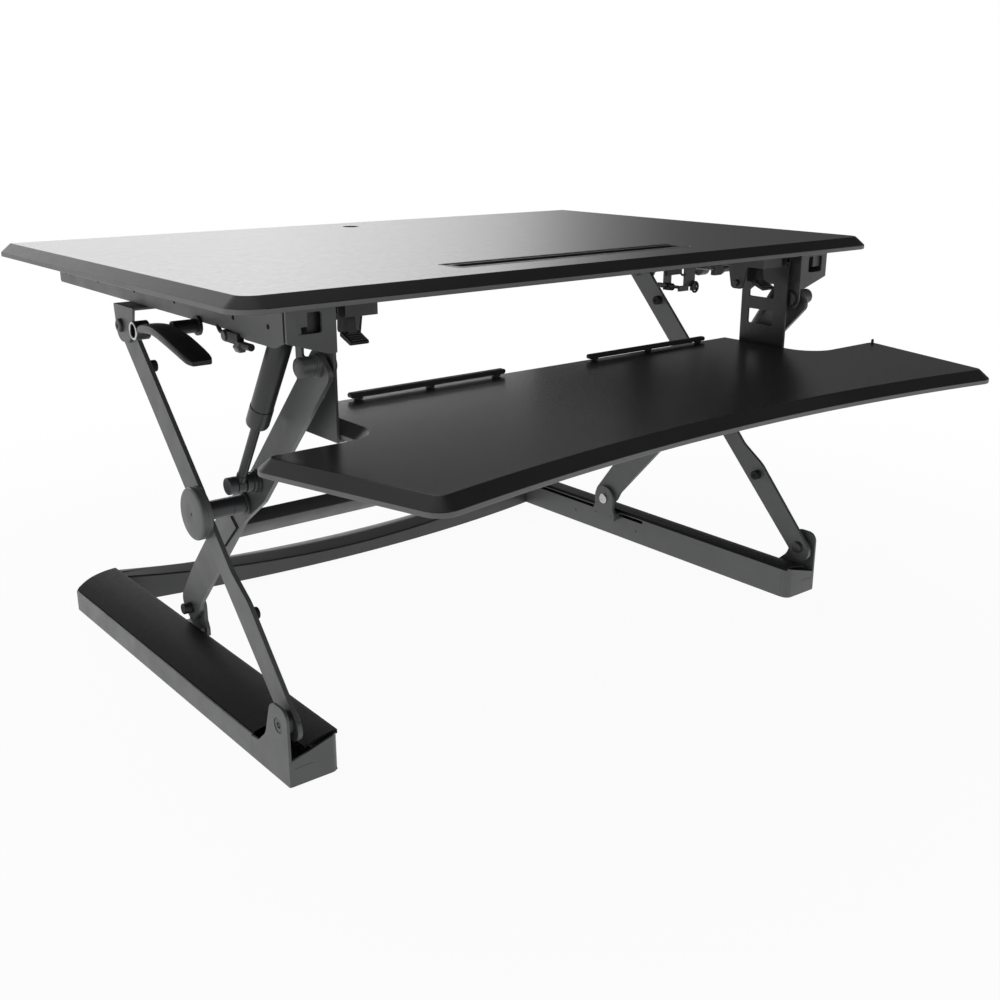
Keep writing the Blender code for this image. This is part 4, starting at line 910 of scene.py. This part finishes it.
def make_tray_hanger(side, word):
    """Box section under the desktop with a C-rail that the tray's bracket slides into."""
    low, lip, web_top = 0.455, 0.454, 0.469
    section = [(0.327, lip), (0.3302, lip), (0.3302, 0.456), (0.3282, 0.456), (0.3282, 0.466),
        (0.335, 0.466), (0.335, 0.456), (0.3338, 0.456), (0.3338, lip), (0.337, lip), (0.337, 0.468),
        (0.33, 0.468), (0.33, FRAME_TOP), (HANGER_IN, FRAME_TOP), (HANGER_IN, low), (HANGER_OUT, low),
        (HANGER_OUT, web_top), (0.327, web_top)]
    hanger = bar(side, section, HANGER_FRONT, HANGER_BACK, (), SHADED_STEEL)
    hollow = block(side, HANGER_IN + 0.002, HANGER_OUT - 0.002, HANGER_FRONT + 0.002, HANGER_BACK + 0.01,
        low + 0.002, FRAME_TOP - 0.002)
    cut(hanger, [hollow])
    lug = side_plate(side, [rounded([(0.0665, low + 0.0013, 0), (0.073, 0.4268, 0.006),
        (0.091, 0.4268, 0.006), (0.0974, low + 0.0013, 0)])], HANGER_IN + GAP, HANGER_IN + 0.0027,
        SHADED_STEEL)
    bolt_in = 0.0024 - HANGER_IN
    bolt = spun(-side, (0.0823, 0.4343), [(bolt_in, 0.003), (bolt_in - 0.0008, 0.0038),
        (bolt_in - 0.0026, 0.0038)], DARK_STEEL, 32)
    fit("tray_hanger", word, "rail", "desk", [hanger, lug, bolt], 0.0003)


def make_cable_hooks():
    """Two steel tabs under the desktop's front edge that hold the release cable."""
    front, low = 0.044, 0.444

    def tab(x0, x1):
        strap = rounded([(front + 0.018, FRAME_TOP, 0), (front, FRAME_TOP, 0), (front, low, 0.0006),
            (front + 0.0015, low, 0.0006), (front + 0.0015, FRAME_TOP - 0.0015, 0),
            (front + 0.018, FRAME_TOP - 0.0015, 0)])
        return side_plate(1, [strap], x0, x1, SHADED_STEEL)

    def wire(x0, z0, x1, z1, radius, material, y=front):
        middle = Vector(((x0 + x1) / 2, y, (z0 + z1) / 2))
        return tube(smooth_line([(x0, y, z0), middle, (x1, y, z1)], 3), radius, material)

    screw = wire(0.0985, 0.4512, 0.1335, 0.4452, 0.0019, DARK_STEEL, front - 0.002)
    sleeve = wire(0.0985, 0.4512, 0.108, 0.4496, 0.0028, STEEL, front - 0.002)
    nut = wire(0.112, 0.448, 0.1225, 0.4466, 0.0042, BLACK, front - 0.002)
    strap = block(1, 0.1125, 0.1385, front - 0.0012, front + 0.003, 0.46, 0.4668, BLACK)
    link = tube(smooth_line([(0.137, front, 0.462), (0.1405, front, 0.4586), (0.145, front, 0.459)], 5),
        0.0013, BLACK)
    assemble("cable_hook_1", "desk", [tab(0.11, 0.1225), screw, sleeve, nut, strap, link],
        (), 0.0003)
    toe = block(1, 0.1345, 0.15, front - 0.002, front + 0.001, 0.44, 0.4462, SHADED_STEEL)
    loop = [(0.1605 + 0.005 * cos(a), front - 0.0025, 0.4435 + 0.0058 * sin(a)) for a in angles(28)]
    core = block(1, 0.1555, 0.164, front - 0.002, front + 0.001, 0.4395, 0.4475, BLACK)
    wire_end = wire(0.164, 0.4642, 0.1985, 0.4604, 0.0009, ZINC)
    stop = block(1, 0.1945, 0.2065, front - 0.002, front + 0.004, 0.454, FRAME_TOP - GAP, BLACK)
    assemble("cable_hook_2", "desk", [tab(0.144, 0.1625), toe,
        tube(loop, 0.0013, BLACK, True), core, wire_end, stop], (), 0.0003)


def make_adjusters():
    """Knob, body and lock nut where each handle's cable meets its side frame."""
    x, knob_at = 0.3908, (0.143, 0.4325)
    along = Matrix.Rotation(-pi / 2, 3, "X")
    for word, side in SIDES.items():
        knob = spun(side, knob_at, [(x + 0.004, 0.0046), (x + 0.0034, 0.0052), (x + 0.002, 0.0052),
            (x + 0.0018, 0.0062), (x - 0.005, 0.0062)], BLACK, 32)
        face = stepped_pin(side, [(x + 0.003, x + 0.0043, 0.0044)], knob_at, STEEL)
        body = block(side, x - 0.0045, x + 0.003, 0.116, 0.137, 0.427, 0.4375, BLACK)
        nut = turned([(0.005, 0.005), (0.0042, 0.0058), (-0.0042, 0.0058), (-0.005, 0.005)],
            (side * x, 0.1165, 0.425), along, STEEL, 6)
        bolt = turned([(0.0, 0.0036), (-0.019, 0.0036)], (side * x, 0.112, 0.4276), along, BLACK, 24)
        cable = tube(smooth_line([(side * x, 0.148, 0.4345), (side * x, 0.156, 0.435),
            (side * (x - 0.002), 0.165, 0.439)], 5), 0.0022, BLACK)
        assemble("cable_adjuster_" + word, "desk", [knob, face, body, nut, bolt, cable],
            (), 0.0004)


# ---- handles and tray hardware -------------------------------------------------------------
def make_handle(side, word):
    """Curved paddle on a short axle outside the side frame, with a bright ring at its rear."""
    eye = (0.268, 0.4245)
    # y, lowest, highest, inner and outer extent of the paddle, from its eye to its front end
    stations = [(0.262, 0.4215, 0.43, 0.418, 0.433), (0.24, 0.426, 0.435, 0.418, 0.437),
        (0.205, 0.429, 0.438, 0.418, 0.442), (0.17, 0.4255, 0.434, 0.418, 0.4455),
        (0.142, 0.4195, 0.427, 0.418, 0.446), (0.122, 0.414, 0.4205, 0.4185, 0.445),
        (0.114, 0.4125, 0.417, 0.4215, 0.4415)]
    rings = []
    for y, low, high, near, far in smooth_line(stations, 6):
        edge = (high - low) * 0.38
        section = rounded_box(near, far, low, high, edge, 5)
        rings.append([(side * x, y, z) for x, z in section])
    paddle = loft(rings, GLOSS_BLACK)
    axle = stepped_pin(side, [(SIDE_OUT + GAP, 0.3935, 0.01), (0.3935, 0.419, 0.007)], HANDLE,
        GLOSS_BLACK)
    boss = spun(side, eye, [(0.4335, 0.0068), (0.4335, 0.0094), (0.4325, 0.0098), (0.4185, 0.0098),
        (0.418, 0.0094), (0.418, 0.0068)], GLOSS_BLACK, 56, True)
    rim = spun(side, eye, [(0.4345, 0.0074), (0.4345, 0.0088), (0.4341, 0.0093), (0.433, 0.0095),
        (0.433, 0.007)], ZINC, 56, True)
    floor = stepped_pin(side, [(0.419, 0.4215, 0.007)], eye, BLACK)
    fit("release_handle", word, "paddle", "handle_" + word,
        [paddle, axle, boss, rim, floor], 0.0003)


def make_tray_bracket(side, word):
    """Hanging plate with two windows, a T-head in the C-rail and a foot under the tray."""
    far = span("tray_bracket_right", "x")[1]
    near = far - 0.0028
    low = span("tray_bracket_right", "z")[0]
    outline = rounded([(0.04, low, 0), (0.112, low, 0), (0.112, 0.45, 0.01), (0.095, 0.459, 0),
        (0.04, 0.459, 0)])
    windows = [rounded([(0.06, 0.412, 0.002), (0.1, 0.412, 0.002), (0.1, 0.42, 0.003),
        (0.084, 0.432, 0.01), (0.06, 0.432, 0.006)]), rounded_box(0.06, 0.1, 0.377, 0.396, 0.002)]
    web = side_plate(side, [outline, *windows], near, far, SHADED_STEEL)
    head = block(side, 0.3288, 0.3344, 0.0405, 0.094, 0.4575, 0.4602, SHADED_STEEL)
    foot = block(side, 0.29, far - 0.0005, 0.0405, 0.1115, low, TRAY_BOTTOM - GAP, SHADED_STEEL)
    fit("tray_bracket", word, "plate", "tray", [web, head, foot], 0.0004)


def make_stop_bar(side, word):
    """Low round-topped rail at the tray's back edge, standing on three small feet."""
    near, far = span("stop_bar_right", "x")
    base, high = span("stop_bar_right", "z")
    front, back = span("stop_bar_right", "y")
    middle = (front + back) / 2
    radius = 0.00275
    edge = radius * 0.98
    rail = bar(side, rounded_box(near, far, high - 2 * radius, high, edge), middle - 0.0034,
        middle + 0.0034, (), BLACK)
    feet = [block(side, x - 0.0035, x + 0.0035, middle - 0.0038, middle + 0.0038, base, high - radius,
        BLACK) for x in (0.076, 0.1675, 0.259)]
    fit("stop_bar", word, "rail", "tray", [rail, *feet], 0.0012, 3)


def make_peg():
    """Small stop peg at the tray's right rear corner."""
    peg = turned([(TRAY_TOP + 0.0055, 0.001), (TRAY_TOP + 0.0048, 0.0017), (TRAY_TOP - 0.001, 0.0019)],
        (0.433, -0.024, 0), FLAT, BLACK, 28)
    assemble("tray_peg", "tray", [peg], (), 0.0003)


def make_release_lever(side, word):
    """Ribbed thumb pad below its pivot, just inside the tray's hanging plate."""
    stem = side_plate(side, [rounded([(0.0575, 0.4345, 0.002), (0.0775, 0.436, 0.003),
        (0.0765, 0.453, 0.003), (0.061, 0.453, 0.003)])], LEVER_X - 0.005, LEVER_X + 0.005, BLACK)
    near, far = LEVER_X - 0.01, LEVER_X + 0.01
    front, back, front_top, back_top = 0.0448, 0.0645, 0.4304, 0.4388
    pad = side_plate(side, [rounded([(0.0445, 0.4262, 0.002), (back, 0.4338, 0.001),
        (back, back_top, 0.002), (front, front_top, 0.002)])], near, far, BLACK)
    ribs = []
    for i in range(5):
        y = front + 0.0015 + 0.0034 * i
        z = front_top + (back_top - front_top) * (y + 0.0008 - front) / (back - front)
        ribs.append(block(side, near + 0.0015, far - 0.0015, y, y + 0.0016, z - 0.001, z + 0.0009, BLACK))
    fit("release_lever", word, "pad", "lever_" + word, [stem, pad, *ribs], 0.0005)


# ---- stage ---------------------------------------------------------------------------------
# The surround's brightness by compass angle (0 is straight behind the desk, 90 its right) and
# by the height of the direction.
AROUND = [(-180.0, 0.09), (-130.0, 0.15), (-95.0, 0.22), (-50.0, 0.24), (-12.0, 0.66), (0.0, 0.95),
    (28.0, 0.95), (35.0, 0.79), (39.0, 0.62), (43.0, 0.24), (47.0, 0.08), (60.0, 0.055), (90.0, 0.05),
    (150.0, 0.06), (180.0, 0.09)]
UPWARD = [(0.0, 0.38), (0.1, 0.42), (0.2, 1.0), (0.34, 0.95), (0.5, 0.36), (1.0, 0.22)]
SURROUND_STRENGTH = 2.9
WHITE_FROM, WHITE_BEYOND, WHITE_LEAST = 0.5, 1.6, 0.95      # the floor's fade to plain white
CAMERA_PLACE = (-0.8974, FRONT - 0.9032, 0.6314)
YAW, PITCH, ROLL = 0.6793, 0.308, 0.0012
FOCAL_LENGTH, SENSOR, SHIFT = 42.558, 36.0, (0.0004, -0.0049)


def make_floor():
    """Pale paper that turns to plain white a little way out from the desk."""
    shape = bmesh.new()
    bmesh.ops.create_circle(shape, cap_ends=True, segments=96, radius=40.0)
    floor = new_solid(to_mesh(shape, "floor"))
    floor.name = "floor"
    look = Look("floor_paper", 0.9, specular=0.1)
    look.feed("Base Color", look.tone((1.0, 1.0, 1.0), 3.0, 2.0, 0.9, 0.93))
    away = look.add("VectorMath", {0: look.place}, operation="LENGTH").outputs["Value"]
    fade = look.add("MapRange", {"From Min": WHITE_FROM, "From Max": WHITE_BEYOND, "To Min": WHITE_LEAST,
        "Value": away}, interpolation_type="SMOOTHSTEP")
    mix = look.add("MixShader", {"Fac": fade.outputs["Result"], 1: look.shader.outputs["BSDF"],
        2: look.add("Emission").outputs["Emission"]})
    output = look.tree.nodes["Material Output"]
    look.tree.links.new(mix.outputs["Shader"], output.inputs["Surface"])
    floor.data.materials.append(look.material)


def make_world():
    """Studio surround: white to the eye, bright behind the desk's left half, dim at its right."""
    world = bpy.data.worlds.new("studio")
    bpy.context.scene.world = world
    world.use_nodes = True
    tree = world.node_tree

    def brightness(source, low, high, stops):
        spread = add_node(tree, "MapRange", {"From Min": low, "From Max": high, "Value": source})
        greys = [((place - low) / (high - low), (value,) * 3) for place, value in stops]
        return add_ramp(tree, spread.outputs["Result"], greys)

    place = add_node(tree, "TexCoord").outputs["Generated"]
    split = add_node(tree, "SeparateXYZ", {"Vector": place}).outputs
    turn = add_node(tree, "Math", {0: split["X"], 1: split["Y"]}, operation="ARCTAN2")
    degrees = add_node(tree, "Math", {0: turn.outputs["Value"]}, operation="DEGREES")
    around = brightness(degrees.outputs["Value"], -180.0, 180.0, AROUND)
    upward = brightness(split["Z"], 0.0, 1.0, UPWARD)
    product = add_node(tree, "VectorMath", {0: around, 1: upward}, operation="MULTIPLY")
    lit = tree.nodes["Background"]
    tree.links.new(product.outputs["Vector"], lit.inputs["Color"])
    lit.inputs["Strength"].default_value = SURROUND_STRENGTH
    seen = add_node(tree, "Background", {"Color": (1, 1, 1, 1)})
    by_eye = add_node(tree, "LightPath").outputs["Is Camera Ray"]
    mix = add_node(tree, "MixShader", {"Fac": by_eye, 1: lit.outputs["Background"],
        2: seen.outputs["Background"]})
    tree.links.new(mix.outputs["Shader"], tree.nodes["World Output"].inputs["Surface"])


def make_light(name, place, aim, size, power):
    light = bpy.data.lights.new(name, "AREA")
    light.shape = "RECTANGLE"
    light.size, light.size_y = size
    light.energy = power
    lamp = bpy.data.objects.new(name, light)
    lamp.location = place
    lamp.rotation_euler = (Vector(aim) - Vector(place)).to_track_quat("-Z", "Y").to_euler()
    bpy.context.scene.collection.objects.link(lamp)


def make_camera():
    """Camera at the height of a seated eye, to the left of the user's place."""
    away = Vector((sin(YAW) * cos(PITCH), cos(YAW) * cos(PITCH), -sin(PITCH)))
    right = Vector((cos(YAW), -sin(YAW), 0.0))
    up = right.cross(away)
    level_right = right * cos(ROLL) + up * sin(ROLL)
    level_up = up * cos(ROLL) - right * sin(ROLL)
    camera = bpy.data.objects.new("camera", bpy.data.cameras.new("camera"))
    turn = Matrix((level_right, level_up, -away)).transposed()
    camera.matrix_world = Matrix.Translation(CAMERA_PLACE) @ turn.to_4x4()
    camera.data.sensor_width = SENSOR
    camera.data.lens = FOCAL_LENGTH
    camera.data.shift_x, camera.data.shift_y = SHIFT
    camera.data.clip_start = 0.02
    bpy.context.scene.collection.objects.link(camera)
    bpy.context.scene.camera = camera


def make_stage():
    make_camera()
    make_floor()
    make_world()
    make_light("left_softbox", (-2.8, -0.2, 0.9), (0, 0, 0.25), (1.6, 1.4), 9)
    make_light("top_softbox", (-0.2, 0.3, 2.8), (0, 0, 0.3), (2.4, 2.4), 12)
    make_light("front_fill", (0.8, -3.0, 1.0), (0, 0, 0.25), (2.0, 1.4), 8)
    bpy.context.scene.view_settings.view_transform = "Standard"


# ---- everything ----------------------------------------------------------------------------
def build():
    make_beam()
    make_desktop()
    make_tablet_slot()
    make_grommet()
    make_tray()
    make_peg()
    make_cable_hooks()
    make_adjusters()
    for word, side in SIDES.items():
        for make in (make_rail, make_cover, make_clevis, make_pivot_pin, make_outer_arm, make_inner_arm,
            make_lower_carriage, make_upper_carriage, make_gas_spring, make_side_frame,
            make_front_bracket, make_tray_hanger, make_handle, make_tray_bracket, make_stop_bar,
            make_release_lever):
            make(side, word)
        keep_node("foot_pad_" + word, RUBBER)
    keep_node("inner_cross_beam", BEAM_SHADE_STEEL, 0.001)
    keep_node("release_cable", BLACK, 0.0001)


build()
make_stage()
